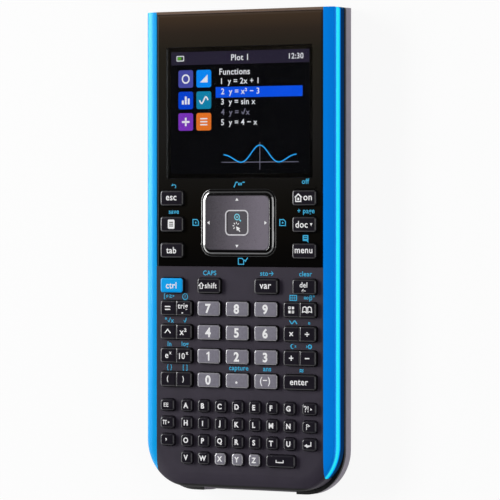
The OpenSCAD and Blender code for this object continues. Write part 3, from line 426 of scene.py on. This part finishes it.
# The drawn signs at size 1, as closed outlines. An outline inside another one is a hole in it.
book = np.array([[0.03, 0.3], [0.25, 0.42], [0.55, 0.3], [0.62, -0.3], [0.3, -0.2], [0.03, -0.34]])
bookPage = np.array([[0.14, 0.22], [0.27, 0.29], [0.45, 0.22], [0.5, -0.16], [0.28, -0.1], [0.14, -0.16]])
piHalf = np.array([[0.46, 0.4], [0.46, 0.25], [0.3, 0.25], [0.3, -0.42], [0.15, -0.42], [0.15, 0.25],
                   [0, 0.25]])
sheet = np.array([[-0.5, 0.45], [0.2, 0.45], [0.5, 0.15], [0.5, -0.45], [-0.5, -0.45]])
tickSheet = np.array([[-0.6, 0.4], [0.0, 0.4], [0.25, 0.15], [0.25, -0.4], [-0.6, -0.4]])
sideTip = [[0.42, 0.2], [0.78, 0], [0.42, -0.2]]
wave = np.linspace(-0.7, 0.7, 22)
pointerRays = [np.array([[math.cos(a), math.sin(a)]]) * [[0.27], [0.513]] + (-0.1, 0.12)
               for a in np.radians([40, 85, 130, 175, 220])]
signs = {
    "undo": [stroke(arc(0.3, 0.1, -0.02, -60, 150, 14)), [[-0.55, 0.1], [-0.02, 0.12], [-0.2, 0.5]]],
    "home": [[[-0.55, 0.02], [0, 0.5], [0.55, 0.02], [0.4, 0.02], [0.4, -0.5], [-0.4, -0.5], [-0.4, 0.02]],
             [[-0.27, 0.06], [0, 0.3], [0.27, 0.06], [0.27, -0.38], [-0.27, -0.38]],
             roundBox(0.24, 0.28, 0.03, 0, -0.16)],
    "sheetSign": [roundBox(0.86, 1, 0.12), *(roundBox(0.52, 0.1, 0.03, 0, y) for y in (0.2, 0, -0.2))],
    "listSign": [roundBox(0.95, 0.85, 0.1), *(roundBox(0.62, 0.12, 0.03, 0, y) for y in (0.17, -0.08)),
                 stroke([[0.2, -0.4], [0.5, -0.62]])],
    "ringSign": [arc(0.5), arc(0.38)],
    "gridSign": [*(roundBox(0.32, 0.32, 0.05, x, y) for x in (-0.24, 0.24) for y in (-0.24, 0.24)),
                 *(roundBox(0.14, 0.14, 0.02, x, -x) for x in (-0.24, 0.24))],
    "bookSign": [book, bookPage, book * (-1, 1), bookPage * (-1, 1)],
    "tableSign": [roundBox(1.5, 1, 0.08), *(roundBox(0.34, 0.3, 0.04, x, y) for x in (-0.42, 0, 0.42)
                                            for y in (-0.2, 0.2))],
    "waveSign": [stroke(np.column_stack([wave, 0.22 * np.sin(wave * 2 * math.pi / 0.95)]), 0.169)],
    "dimSign": [arc(0.42, -0.15), arc(0.34, -0.02), stroke([[0.55, 0.18], [0.42, 0], [0.55, -0.18]])],
    "brightSign": [arc(0.42, 0.15), arc(0.2, 0.15), stroke([[-0.55, 0.18], [-0.42, 0], [-0.55, -0.18]])],
    "flagSign": [[[-0.34, 0.5], [0.1, 0.42], [0.44, 0.16], [0.1, 0.02], [-0.22, 0.04], [-0.22, -0.5],
                  [-0.34, -0.5]],
                 [[-0.2, 0.36], [0.06, 0.3], [0.2, 0.16], [0.04, 0.12], [-0.2, 0.14]]],
    "equalSign": [roundBox(1, 0.17, 0.04, 0, y) for y in (0.22, -0.22)],
    "caretSign": [stroke([[-0.5, -0.25], [0, 0.3], [0.5, -0.25]], 0.17)],
    "1": [[[-0.17, 0.22], [0.04, 0.36], [0.14, 0.36], [0.14, -0.36], [0, -0.36], [0, 0.2], [-0.13, 0.12]]],
    "I": [roundBox(0.16, 0.7, 0.02)],
    "returnSign": [stroke([[0.5, 0.45], [0.5, -0.15], [-0.2, -0.15]], 0.156),
                   [[-0.62, -0.15], [-0.16, 0.14], [-0.16, -0.44]]],
    "piSign": [np.vstack([piHalf, piHalf[::-1] * (-1, 1)]) - (0.3, 0), sideTip],
    "askSign": [stroke(np.vstack([arc(0.2, -0.5, 0.24, 170, -60, 10), [[-0.46, -0.16]]]), 0.156),
                [[-0.06, 0.46], [0.1, 0.46], [0.06, -0.16], [-0.02, -0.16]],
                *(arc(0.08, x, -0.36, steps=10) for x in (-0.46, 0.02)), sideTip],
    "spaceSign": [stroke([[-0.55, 0.24], [-0.55, -0.08], [0.55, -0.08], [0.55, 0.24]])],
    "pageSign": [sheet, sheet * 0.74, arc(0.12, 0, -0.02, steps=10)],
    "tickPage": [tickSheet, tickSheet * 0.74 - (0.045, 0), stroke([[0.3, 0.16], [0.42, 0.02], [0.75, 0.42]])],
    "arrowDots": [stroke([[-0.75, -0.4], [-0.45, 0.2], [-0.22, 0.2]]),
                  *(roundBox(0.2, 0.3, 0.04, x) for x in (-0.05, 0.25)), stroke([[0.45, 0.2], [0.75, 0.2]])],
    "seekSign": [arc(0.42), arc(0.28), arc(0.12, steps=10), stroke([[0.32, -0.32], [0.58, -0.52]], 0.182)],
    "pointerSign": [[[-0.12, 0.1], [0.52, -0.16], [0.3, -0.26], [0.5, -0.52], [0.38, -0.6], [0.18, -0.36],
                     [0.02, -0.5]], *(stroke(ray, 0.104) for ray in pointerRays)],
    "triangle": [[[-0.5, -0.35], [0.5, -0.35], [0, 0.4]]],
}


def flatMesh(loops, thickness):
    # Outlines filled and given a thickness. The plane's z 0 is in the middle of the thickness.
    curve = bpy.data.curves.new("mark", "CURVE")
    curve.dimensions, curve.fill_mode, curve.extrude = "2D", "BOTH", thickness / 2
    for loop in loops:
        spline = curve.splines.new("POLY")
        spline.points.add(len(loop) - 1)
        spline.points.foreach_set("co", np.insert(loop, [2, 2], (0, 1), axis=1).ravel())
        spline.use_cyclic_u = True
    return meshOfCurve(curve)


def textMesh(text, size, thickness, weight):
    # Built-in lettering, thickened by the weight, with the middle of its own box at the origin.
    curve = bpy.data.curves.new("mark", "FONT")
    curve.body, curve.size, curve.extrude, curve.offset = text, size, thickness / 2, weight
    curve.resolution_u, curve.space_character = 4, markForm["spacing"]
    mesh = meshOfCurve(curve)
    points = meshPoints(mesh)
    middle = (points.min(0) + points.max(0)) / 2
    return moveMesh(mesh, -middle[0], -middle[1], 0)


def meshOfCurve(curve):
    holder = addObject("mark", curve)
    bpy.context.view_layer.update()
    mesh = bpy.data.meshes.new_from_object(holder)
    bpy.data.objects.remove(holder)
    bpy.data.curves.remove(curve)
    return mesh


def meshPoints(mesh):
    points = np.empty(len(mesh.vertices) * 3)
    mesh.vertices.foreach_get("co", points)
    return points.reshape(-1, 3)


def moveMesh(mesh, x, y, z, turn=0.0):
    mesh.transform(Matrix.Translation((x, y, z)) @ Matrix.Rotation(math.radians(turn), 4, "Z"))
    return mesh


def markMesh(mark, thickness):
    # One mark of the tables, as (text or sign, x, y, size in mm). A lone capital or digit is bold.
    text, x, y, size = mark
    if text in signs:
        mesh = flatMesh([np.array(loop) * size * mm for loop in signs[text]], thickness)
    else:
        bold = markForm["single" if len(text) == 1 and (text.isupper() or text.isdigit()) else "word"]
        mesh = textMesh(text, size * mm, thickness, bold * size * mm)
    return moveMesh(mesh, x * mm, y * mm, 0)


def addPiece(name, meshes, finishNames, body, sharp=40):
    # Joins (mesh, finish number or one number a face) pairs into one object that rides on a body.
    form = bmesh.new()
    for mesh, number in meshes:
        mesh.polygons.foreach_set("material_index", np.full(len(mesh.polygons), number, np.int32))
        form.from_mesh(mesh)
        bpy.data.meshes.remove(mesh)
    whole = bpy.data.meshes.new(name)
    form.to_mesh(whole)
    form.free()
    whole.polygons.foreach_set("use_smooth", np.ones(len(whole.polygons), bool))
    whole.set_sharp_from_angle(angle=math.radians(sharp))
    for finishName in finishNames:
        whole.materials.append(finishes[finishName])
    piece = addObject(name, whole)
    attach(piece, body)
    return piece


capForm = {  # lengths in mm
    "flange": 0.5, "flangeThickness": 0.7,  # the lip that keeps the cap under the case
    "wide": {"corner": 1.1, "edge": 0.8, "crown": 0.12},
    "letter": {"corner": 1.3, "edge": 1.0, "crown": 0.08},
    "edgeFrom": 0.2, "bodyFrom": 0.72,  # shares of the edge rounding where the painted edge highlight and the black body start
    "rockerFlange": 0.6,  # a rocker's lip is thinner, because the rocker tilts
    "groove": {"half": 0.55, "depth": 0.36},  # the dip between the two ends of a rocker
    "rockerFrom": 14.0,  # wider caps with several marks are rockers
    "rows": (6, 4),  # of the grid between the corners, across and along
}


def edgeSteps(half, corner, middle):
    # Places from -half to half, close together near both ends: the ends follow the sine of the
    # corner's angle, and the stretch between is divided evenly.
    turn = np.sin(np.radians(np.linspace(0, 90, 9))) * corner
    inner = np.linspace(0, half - corner, middle + 1)
    side = np.concatenate([inner[:-1], half - corner + turn])
    return np.concatenate([-side[:0:-1], side])


def insideDistance(x, y, halfX, halfY, corner):
    # distance from a point to the outline of a rounded rectangle, positive inside
    qx, qy = np.abs(x) - (halfX - corner), np.abs(y) - (halfY - corner)
    return corner - np.hypot(np.maximum(qx, 0), np.maximum(qy, 0)) - np.minimum(np.maximum(qx, qy), 0)


def crownHeight(x, y, halfX, halfY, form, groove):
    # Height below the cap's top: a shallow dome, a quarter-round edge, and a V groove if there is one.
    edge = form["edge"] * mm
    inset = np.clip(edge - insideDistance(x, y, halfX, halfY, form["corner"] * mm), 0, edge)
    drop = edge - np.sqrt(np.maximum(edge ** 2 - inset ** 2, 0))
    height = -form["crown"] * mm * ((x / halfX) ** 2 + (y / halfY) ** 2) / 2 - drop
    if groove:
        half, depth = groove["half"] * mm, groove["depth"] * mm
        height = np.minimum(height, -depth * (1 - np.abs(x) / half) + np.where(np.abs(x) > half, 1, 0))
    return height


def capMesh(middleX, middleY, halfX, halfY, base, top, form, groove):
    # Top: a grid whose rows keep to the outline, y scaled at each x to the rounded rectangle's own
    # width there. Sides: rings that follow the grid's rim down the wall and round the flange.
    # Each face is given a zone: 0 the top, 1 the edge, a painted highlight, 2 the black body of the two-shot
    # moulding, partly painted shade.
    corner = form["corner"] * mm
    across, along = (edgeSteps(half, corner, rows) for half, rows in zip((halfX, halfY), capForm["rows"]))
    if groove:
        half = groove["half"] * mm
        outside = across[np.abs(across) > half * 1.3]
        across = np.unique(np.concatenate([outside, half * np.linspace(-1, 1, 5)]))
    beyond = np.maximum(np.abs(across) - (halfX - corner), 0)
    reach = halfY - corner + np.sqrt(np.maximum(corner ** 2 - beyond ** 2, 0))
    x = np.repeat(across, len(along))
    y = np.outer(reach / halfY, along).ravel()
    z = top + crownHeight(x, y, halfX, halfY, form, groove)
    nx, ny = len(across), len(along)
    index = np.arange(nx * ny).reshape(nx, ny)
    topFaces = np.stack([index[:-1, :-1], index[1:, :-1], index[1:, 1:], index[:-1, 1:]], -1).reshape(-1, 4)
    rim = np.concatenate([index[:-1, 0], index[-1, :-1], index[:0:-1, -1], index[0, :0:-1]])
    grid = np.column_stack([x, y, z])
    rimPoints = grid[rim]
    q = np.maximum(np.abs(rimPoints[:, :2]) - (np.array([halfX, halfY]) - corner), 1e-9)
    outward = np.sign(rimPoints[:, :2]) * q / np.linalg.norm(q, axis=1)[:, None]
    flange, lip = capForm["flange"] * mm, base + capForm["rockerFlange" if groove else "flangeThickness"] * mm
    rings = [np.column_stack([rimPoints[:, :2] + outward * out, np.full(len(rim), level)])
             for out, level in ((0, lip), (flange, lip), (flange, base))]
    points = np.vstack([grid, *rings]) + (middleX, middleY, 0)
    count = len(rim)
    ringIndex = [rim] + [nx * ny + k * count + np.arange(count) for k in range(len(rings))]
    sides = [np.stack([upper, lower, np.roll(lower, -1), np.roll(upper, -1)], -1)
             for upper, lower in zip(ringIndex[:-1], ringIndex[1:])]
    mesh = bpy.data.meshes.new("cap")
    floorFace = ringIndex[-1][::-1].tolist()
    mesh.from_pydata(points, [], [*topFaces.tolist(), *np.vstack(sides).tolist(), floorFace])
    middles = grid[topFaces].mean(1)
    share = 1 - insideDistance(middles[:, 0], middles[:, 1], halfX, halfY, corner) / (form["edge"] * mm)
    zone = np.full(len(mesh.polygons), 2)
    zone[:len(topFaces)] = np.searchsorted([capForm["edgeFrom"], capForm["bodyFrom"]], share)
    return mesh, zone


def stretches(low, high):
    # overlapping stretches merged, as (start, end) pairs
    order = np.argsort(low)
    starts, reach = low[order], np.maximum.accumulate(high[order])
    breaks = np.flatnonzero(starts[1:] > reach[:-1] + 0.1 * mm)
    return list(zip(starts[np.r_[0, breaks + 1]], reach[np.r_[breaks, len(reach) - 1]]))


def capPlaces(node):
    # A node can hold a row or a column of caps: their places are where its triangles lie together.
    mesh = nodes[node].data
    corners = np.empty(len(mesh.loops), np.int32)
    mesh.loops.foreach_get("vertex_index", corners)
    triangles = meshPoints(mesh)[corners].reshape(-1, 3, 3)
    spans = [stretches(triangles[:, :, axis].min(1), triangles[:, :, axis].max(1)) for axis in (0, 1)]
    return [((x0 + x1) / 2, (y0 + y1) / 2, (x1 - x0) / 2, (y1 - y0) / 2)
            for y0, y1 in spans[1][::-1] for x0, x1 in spans[0]]


def pressMarks(marks, place, top, form, groove):
    # Marks laid on a cap: their points drop by the cap's own crown, so that they follow it.
    laid = []
    for mark in marks:
        mesh = markMesh(mark, markForm["onCap"] * mm)
        points = meshPoints(mesh)
        points[:, 2] += top + crownHeight(points[:, 0], points[:, 1], place[2], place[3], form, groove)
        points[:, :2] += place[:2]
        mesh.vertices.foreach_set("co", points.ravel())
        mesh.update()
        laid.append((mesh, 0))
    return laid


def buildKeys():
    blueMarks = []
    for node, marks in keyMarks.items():
        low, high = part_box(node)
        places = capPlaces(node)
        small = "letters" in marks or "column" in marks or node == "key_space"
        form = capForm["letter" if small else "wide"]
        rocker = len(marks.get("cap", [])) > 1 and high.x - low.x > capForm["rockerFrom"] * mm
        groove = capForm["groove"] if rocker else None
        if "letters" in marks:
            lists = [[(letter, 0, 0, markForm["letter"])] for letter in marks["letters"]]
        elif "column" in marks:
            lists = [[(text, -0.2, 0, size)] for text, size in marks["column"]]
        else:
            lists = [marks["cap"]]
        flange = capForm["flange"] * mm
        caps, laid = [], []
        for (x, y, halfX, halfY), own in zip(places, lists):
            place = (x, y, halfX - flange, halfY - flange)
            caps.append(capMesh(*place, low.z, high.z, form, groove))
            laid += pressMarks(own, place, high.z, form, groove)
        # The top's tint, the edge's painted highlight, and the black body, partly painted shade round the
        # keys.
        tint, edge, slotName = (("capGrey", "edgeHighlightGrey", "key_grey") if node in greyKeys else
                                ("capBlue", "capBlue", "key_blue") if node == "key_control" else
                                ("capBlack", "capBlack" if small else "edgeHighlightBlack", "key_black"))
        cap = addPiece(node + "_cap", caps, [tint, edge, "capBlack" if small else "capBody"], node)
        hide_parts(node)
        addPiece(node + "_print", laid, ["inkWhite"], node)
        middle = (low + high) / 2 / mm
        blueMarks += [(text, middle.x + x, middle.y + y, size) for text, x, y, size in marks.get("above", [])]
    return blueMarks


blueMarks = buildKeys()
print("key caps made:", len(keyMarks))


padForm = {  # lengths in mm, the slope in degrees
    "ringCorner": 4.9, "band": 2.7, "rim": 0.8, "rimHeight": 1.4, "padGap": 0.2,
    "topSlope": 12.0, "risePower": 4.0,  # the rise ends at this slope, and bends mostly near its foot
    "edge": 0.22, "lip": 0.12,  # roundings of the outer edge and of the edge along the pad
    "squareWide": 10.9, "squareHigh": 10.2, "squareCorner": 2.0, "lineWide": 0.5, "lineThick": 0.24,
    "shadeThick": 0.02, "dish": 0.15,  # the ink inside the square, and how far the pad dips there
    "arrowAcross": 13.4, "arrowAlong": 9.3, "arrowSize": 1.5,
    "seek": ("seekSign", 0, 2.3, 3.2), "pointer": ("pointerSign", -0.1, -1.7, 3.2),
    "around": [("arrowDots", 0.4, 15.4, 3.4), ("tickPage", 1.8, -15.3, 3.4), ("pageSign", -20.2, 0.1, 3.0),
               ("pageSign", 20.6, 0.1, 3.0)],
}
panelZ = lensHigh.z + 0.05 * mm
padMiddle = (padLow + padHigh) / 2


def ringBand():
    # A profile carried round a rounded rectangle: up the outside, over a small edge, along a level
    # rim, up a rise that flattens towards the pad, and down inside. A point of the profile is a
    # distance in from the outline and a height, and each has its own smaller rounded rectangle.
    low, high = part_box("touchpad_ring")
    band, rim, rimHeight, padGap, edge, lip, corner = (padForm[name] * mm for name in (
        "band", "rim", "rimHeight", "padGap", "edge", "lip", "ringCorner"))
    rimZ, run = low.z + rimHeight, band - padGap - rim
    bend = np.radians(np.linspace(180, 90, 5))
    # Along the rise the tangent falls from the foot's to the top's, by a power of what is left.
    part, power = np.linspace(0, 1, 22), padForm["risePower"]
    topTangent = math.tan(math.radians(padForm["topSlope"]))
    footTangent = ((high.z - rimZ) / run - topTangent) * (power + 1)
    rise = rimZ + run * (topTangent * part + footTangent * (1 - (1 - part) ** (power + 1)) / (power + 1))
    lipBend = bend[::-1] - math.pi / 2
    inset = np.concatenate([[0], edge + edge * np.cos(bend), rim + run * part[:-1],
                            rim + run - lip + lip * np.cos(lipBend), [rim + run]])
    level = np.concatenate([[low.z], rimZ - edge + edge * np.sin(bend), rise[:-1],
                            rise[-1] - lip + lip * np.sin(lipBend), [low.z]])
    size, middle = high - low, (low + high) / 2
    loops = [roundBox(size.x - 2 * d, size.y - 2 * d, corner - d, middle.x, middle.y, 12) for d in inset]
    points = np.stack([np.column_stack([loop, np.full(len(loop), z)]) for loop, z in zip(loops, level)])
    index = np.arange(points.shape[0] * points.shape[1]).reshape(points.shape[:2])
    nextAround, nextUp = np.roll(index, -1, 1), np.roll(index, -1, 0)
    faces = np.stack([index, nextAround, np.roll(nextUp, -1, 1), nextUp], -1).reshape(-1, 4)
    mesh = bpy.data.meshes.new("ring")
    mesh.from_pydata(points.reshape(-1, 3), [], faces.tolist())
    return mesh


def buildTouchpad():
    ring = addPiece("touchpad_frame", [(ringBand(), 0)], ["ringGloss"], "handheld", 50)
    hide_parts("touchpad_ring")
    wide, high, corner, line = (padForm[name] * mm for name in (
        "squareWide", "squareHigh", "squareCorner", "lineWide"))
    inside = roundBox(wide - 2 * line, high - 2 * line, corner - line)
    ink, dish = markForm["onFace"] * mm, -padForm["dish"] * mm
    marks = [(flatMesh([roundBox(wide, high, corner), inside], padForm["lineThick"] * mm), 0)]
    for x, y, turn in ((0, 1, 0), (0, -1, 180), (1, 0, -90), (-1, 0, 90)):
        arrow = markMesh(("triangle", 0, 0, padForm["arrowSize"]), ink)
        moveMesh(arrow, x * padForm["arrowAcross"] * mm, y * padForm["arrowAlong"] * mm, 0, turn)
        marks.append((arrow, 1))
    marks += [(moveMesh(markMesh(padForm[name], ink), 0, 0, dish), number) for name, number in (
        ("seek", 2), ("pointer", 1))]
    marks.append((moveMesh(flatMesh([inside], padForm["shadeThick"] * mm), 0, 0, dish), 3))
    for mesh, number in marks:
        moveMesh(mesh, padMiddle.x, padMiddle.y, padHigh.z)
    addPiece("touchpad_print", marks, ["inkSilver", "inkWhite", "inkCyan", "inkShade"], "touchpad")


buildTouchpad()

blueMarks += [(sign, padMiddle.x / mm + x, padMiddle.y / mm + y, size)
              for sign, x, y, size in padForm["around"]]
blueMeshes = [moveMesh(markMesh(mark, markForm["onFace"] * mm), 0, 0,
                       panelZ if mark[2] * mm > panelLow.y else caseHigh.z) for mark in blueMarks]
addPiece("second_function_print", [(mesh, 0) for mesh in blueMeshes], ["inkBlue"], "handheld")
print("touchpad and printed marks made:", len(blueMarks))


picture = {  # lengths in mm, from the middle of the lit area
    "border": 1.8, "layer": 0.02, "bar": 5.2, "title": 3.4, "clock": 3.1,
    "listLeft": -9.5, "listDown": 5.6, "heading": 3.5, "rowPitch": 4.1, "text": 3.3,
    "rows": ["1  y = 2x + 1", "2  y = x² − 3", "3  y = sin x", "4  y = √x", "5  y = 4 − x"],
    "chosenRow": 1, "dimRow": 3,
    "tile": 7.0, "tilePitch": 8.6, "tilesIn": 7.0, "tilesDown": 8.2,
    "tileColours": ["#4C50A8", "#0A90FF", "#0A46D6", "#1488B0", "#8038C0", "#F07828"],
    "plotRight": 9.5, "plotUp": 7.0, "plotHalf": 18, "axisHalf": 5.5, "axisLine": 0.25,
    "curveHalf": 17, "curveHigh": 4.2, "curveTurn": 0.32, "curveFade": 13, "curveLine": 0.45,
}
screenFinishes = {"screenBlack": "#08080A", "screenBar": "#2A2536", "screenWhite": "#F2F2F6",
                  "screenDim": "#7C7A8C", "screenChoice": "#0A55F0", "screenGreen": "#55A820",
                  "screenSky": "#30B0FF",
                  **{"screenTile%d" % number: colour for number, colour in enumerate(picture["tileColours"])}}
finishes.update({name: screenColour(name, colour) for name, colour in screenFinishes.items()})


def buildPicture():
    # Thin layers on the display glass. Each is an outline or a text, on the layer with the number step.
    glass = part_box("display_module")[1].z
    middle = (lensLow + lensHigh) / 2
    wide, tall = (side / mm - 2 * picture["border"] for side in (lensHigh - lensLow)[:2])
    layer = picture["layer"] * mm
    thick = layer * 0.8
    names = list(screenFinishes)
    parts = []

    def put(mesh, finishName, step):
        moveMesh(mesh, middle.x, middle.y, glass + (step + 0.5) * layer)
        parts.append((mesh, names.index(finishName)))

    def lay(finishName, step, *loops):
        put(flatMesh([loop * mm for loop in loops], thick), finishName, step)

    def words(finishName, step, text, x, y, size, left=True):
        mesh = textMesh(text, size * mm, thick, markForm["screen"] * size * mm)
        half = meshPoints(mesh)[:, 0].max() if left else 0
        put(moveMesh(mesh, x * mm + half, y * mm, 0), finishName, step)

    lay("screenBlack", 0, roundBox(wide, tall, 0.3))
    barY = tall / 2 - picture["bar"] / 2
    lay("screenBar", 1, roundBox(wide - 0.2, picture["bar"], 0.2, 0, barY))
    charge = -wide / 2 + 4.4
    lay("screenWhite", 2, roundBox(3.6, 2.2, 0.4, charge, barY), roundBox(2.9, 1.5, 0.2, charge, barY))
    lay("screenGreen", 2, roundBox(1.8, 1.1, 0.1, charge - 0.4, barY))
    words("screenWhite", 2, "Plot 1", 0, barY, picture["title"], False)
    words("screenWhite", 2, "12:30", wide / 2 - 9.5, barY, picture["clock"])

    turn = np.linspace(-math.pi, math.pi, 20)
    bars = ((-1.4, 1.6), (0, 3.2), (1.4, 2.4))
    glyphs = [[arc(1.9), arc(1.3)], [np.array([[-1.8, -1.5], [1.8, -1.5], [1.8, 1.6]])],
              [roundBox(0.9, high, 0.1, x, -1.6 + high / 2) for x, high in bars],
              [stroke(np.column_stack([2 * turn / math.pi, 1.3 * np.sin(turn)]), 0.6)],
              [roundBox(3.6, 0.8, 0.1), roundBox(0.8, 1.2, 0.1, 0, 1.1), roundBox(0.8, 1.2, 0.1, 0, -1.1)],
              [roundBox(3.4, 0.5, 0.1, 0, y) for y in (-1.2, 0, 1.2)]]
    for number, loops in enumerate(glyphs):
        x = -wide / 2 + picture["tilesIn"] + (number % 2) * picture["tilePitch"]
        y = barY - picture["tilesDown"] - (number // 2) * picture["tilePitch"]
        lay("screenTile%d" % number, 1, roundBox(picture["tile"], picture["tile"], 0.9, x, y))
        lay("screenWhite", 2, *(loop + (x, y) for loop in loops))

    listX, listTop = picture["listLeft"], barY - picture["listDown"]
    words("screenWhite", 1, "Functions", listX, listTop, picture["heading"])
    for number, text in enumerate(picture["rows"]):
        y = listTop - (number + 1) * picture["rowPitch"]
        if number == picture["chosenRow"]:
            lay("screenChoice", 1, roundBox(40.5, 4.2, 0.2, listX + 18.5, y))
        tone = "screenDim" if number == picture["dimRow"] else "screenWhite"
        words(tone, 2, text, listX + 0.8, y, picture["text"])

    x, y = picture["plotRight"], -tall / 2 + picture["plotUp"]
    half, line = picture["plotHalf"], picture["axisLine"]
    lay("screenDim", 1, stroke([[x - half, y - 2.5], [x + half, y - 2.5]], line))
    lay("screenDim", 2, stroke([[x, y - picture["axisHalf"]], [x, y + picture["axisHalf"]]], line))
    along = np.linspace(-picture["curveHalf"], picture["curveHalf"], 60)
    fade = np.exp(-(along / picture["curveFade"]) ** 2)
    height = picture["curveHigh"] * np.cos(along * picture["curveTurn"]) * fade
    lay("screenSky", 3, stroke(np.column_stack([x + along, y + height]), picture["curveLine"]))
    addPiece("display_picture", parts, names, "handheld")
    rim = 2 * picture["border"] - 0.2
    outlines = [roundBox(wide + rim, tall + rim, 0.4), roundBox(wide + 0.1, tall + 0.1, 0.3)]
    mask = flatMesh([outline * mm for outline in outlines], layer)
    moveMesh(mask, middle.x, middle.y, glass + 5 * layer)
    addPiece("display_mask", [(mask, 0)], ["panelAcrylic"], "handheld")


buildPicture()
print("display picture made")


studio = {
    "floorSize": 12.0, "floorWhite": 0.9, "roomLevel": 0.25,
    # Where the white wall changes, from and to, as a share of the way to straight along the axis, and
    # its level there: past the top end, on the left, and upwards where it fades out.
    "farEnd": (0.15, 0.7, 0.3), "leftWall": (0.68, 0.9, 4.0), "ceiling": (0.35, 0.65, 0.0),
    "lamps": {  # direction from the object, distance, length and height in metres, power in watts
        "mainSoft": {"toward": (-0.82, 0.28, 0.5), "distance": 1.4, "size": (0.9, 0.35), "power": 15.5},
        "rightFill": {"toward": (0.8, 0.1, 0.5), "distance": 1.2, "size": (1.4, 1.2), "power": 6.8},
    },
}
cameraLook = {"turn": 32.06, "lift": 0.577,  # degrees to the right of and above the face's own axis
              "distance": 1.471, "lens": 266.6, "aim": (3.8, 0.61, 5.07)}  # aim in mm from the middle


def stageShare(tree):
    # 1 for the rays that see the studio itself: from the camera, off gloss, and through glass
    rays = addNode(tree, "LightPath").outputs
    seen = addNode(tree, "Math", {0: rays["Is Camera Ray"], 1: rays["Is Glossy Ray"]}, operation="MAXIMUM")
    seen = addNode(tree, "Math", {0: seen, 1: rays["Is Transmission Ray"]}, operation="MAXIMUM")
    return seen, rays["Is Camera Ray"]


def buildFloor():
    # White seamless paper: it glows at 1 to the eye and keeps a little of the shadow.
    finish, tree, place = openFinish("seamlessPaper")
    fibre = addNode(tree, "TexNoise", {"Scale": 1 / (2 * mm), "Vector": place})
    tone = addNode(tree, "Mix", {"A": "#F2F2F2", "B": "#FAFAFA", "Factor": fibre}, data_type="RGBA")
    matte = addNode(tree, "BsdfDiffuse", {"Color": tone})
    glow = addNode(tree, "Emission", {"Color": (1, 1, 1, 1), "Strength": 1.0})
    share = addNode(tree, "Math", {0: stageShare(tree)[0], 1: studio["floorWhite"]}, operation="MULTIPLY")
    addNode(tree, "OutputMaterial", {"Surface": addNode(tree, "MixShader", {0: share, 1: matte, 2: glow})})
    half, level = studio["floorSize"] / 2, cadLow.z - 0.02 * mm
    corners = ((-half, -half, level), (half, -half, level), (half, half, level), (-half, half, level))
    mesh = bpy.data.meshes.new("floor")
    mesh.from_pydata(corners, [], [(0, 1, 2, 3)])
    mesh.materials.append(finish)
    addObject("floor", mesh)


def buildRoom():
    # Walls are white and the ceiling is dark, so level glossy faces stay black and their edges light up.
    world = bpy.data.worlds.new("studio")
    world.use_nodes = True
    tree = world.node_tree
    tree.nodes.clear()
    axes = addNode(tree, "SeparateXYZ", {"Vector": addNode(tree, "TexCoord").outputs["Generated"]}).outputs
    aside = addNode(tree, "Math", {0: axes["X"], 1: -1.0}, operation="MULTIPLY")
    wall = 1.0
    for place, (start, end, level) in ((axes["Y"], studio["farEnd"]), (aside, studio["leftWall"]),
                                       (axes["Z"], studio["ceiling"])):
        wall = addNode(tree, "MapRange", {"From Min": start, "From Max": end, "To Min": wall, "To Max": level,
                                          "Value": place}, interpolation_type="SMOOTHSTEP")
    seen, fromCamera = stageShare(tree)
    shown = addNode(tree, "Math", {0: wall, 1: fromCamera}, operation="MAXIMUM")
    level = addNode(tree, "Mix", {"A": studio["roomLevel"], "B": shown, "Factor": seen})
    light = addNode(tree, "Background", {"Color": (1, 1, 1, 1), "Strength": level})
    addNode(tree, "OutputWorld", {"Surface": light})
    scene.world = world


def buildLamps():
    for name, look in studio["lamps"].items():
        toward = Vector(look["toward"]).normalized()
        lamp = bpy.data.lights.new(name, "AREA")
        lamp.shape, lamp.energy = "RECTANGLE", look["power"]
        lamp.size, lamp.size_y = look["size"]
        holder = addObject(name, lamp)
        holder.location = cadMiddle + toward * look["distance"]
        holder.rotation_euler = toward.to_track_quat("Z", "Y").to_euler()


def buildCamera():
    # Over the right side of the face, the top end upwards, with a long lens.
    turn, lift = math.radians(cameraLook["turn"]), math.radians(cameraLook["lift"])
    back = Vector((math.sin(turn) * math.cos(lift), math.sin(lift), math.cos(turn) * math.cos(lift)))
    up = (Vector((0, 1, 0)) - back * back.y).normalized()
    side = up.cross(back)
    lens = bpy.data.cameras.new("camera")
    lens.lens, lens.sensor_width = cameraLook["lens"], 36.0
    camera = addObject("camera", lens)
    aim = cadMiddle + Vector(cameraLook["aim"]) * mm
    rotation = Matrix((side, up, back)).transposed()
    camera.matrix_world = Matrix.Translation(aim + back * cameraLook["distance"]) @ rotation.to_4x4()
    scene.camera = camera


buildFloor()
buildRoom()
buildLamps()
buildCamera()
print("studio made")
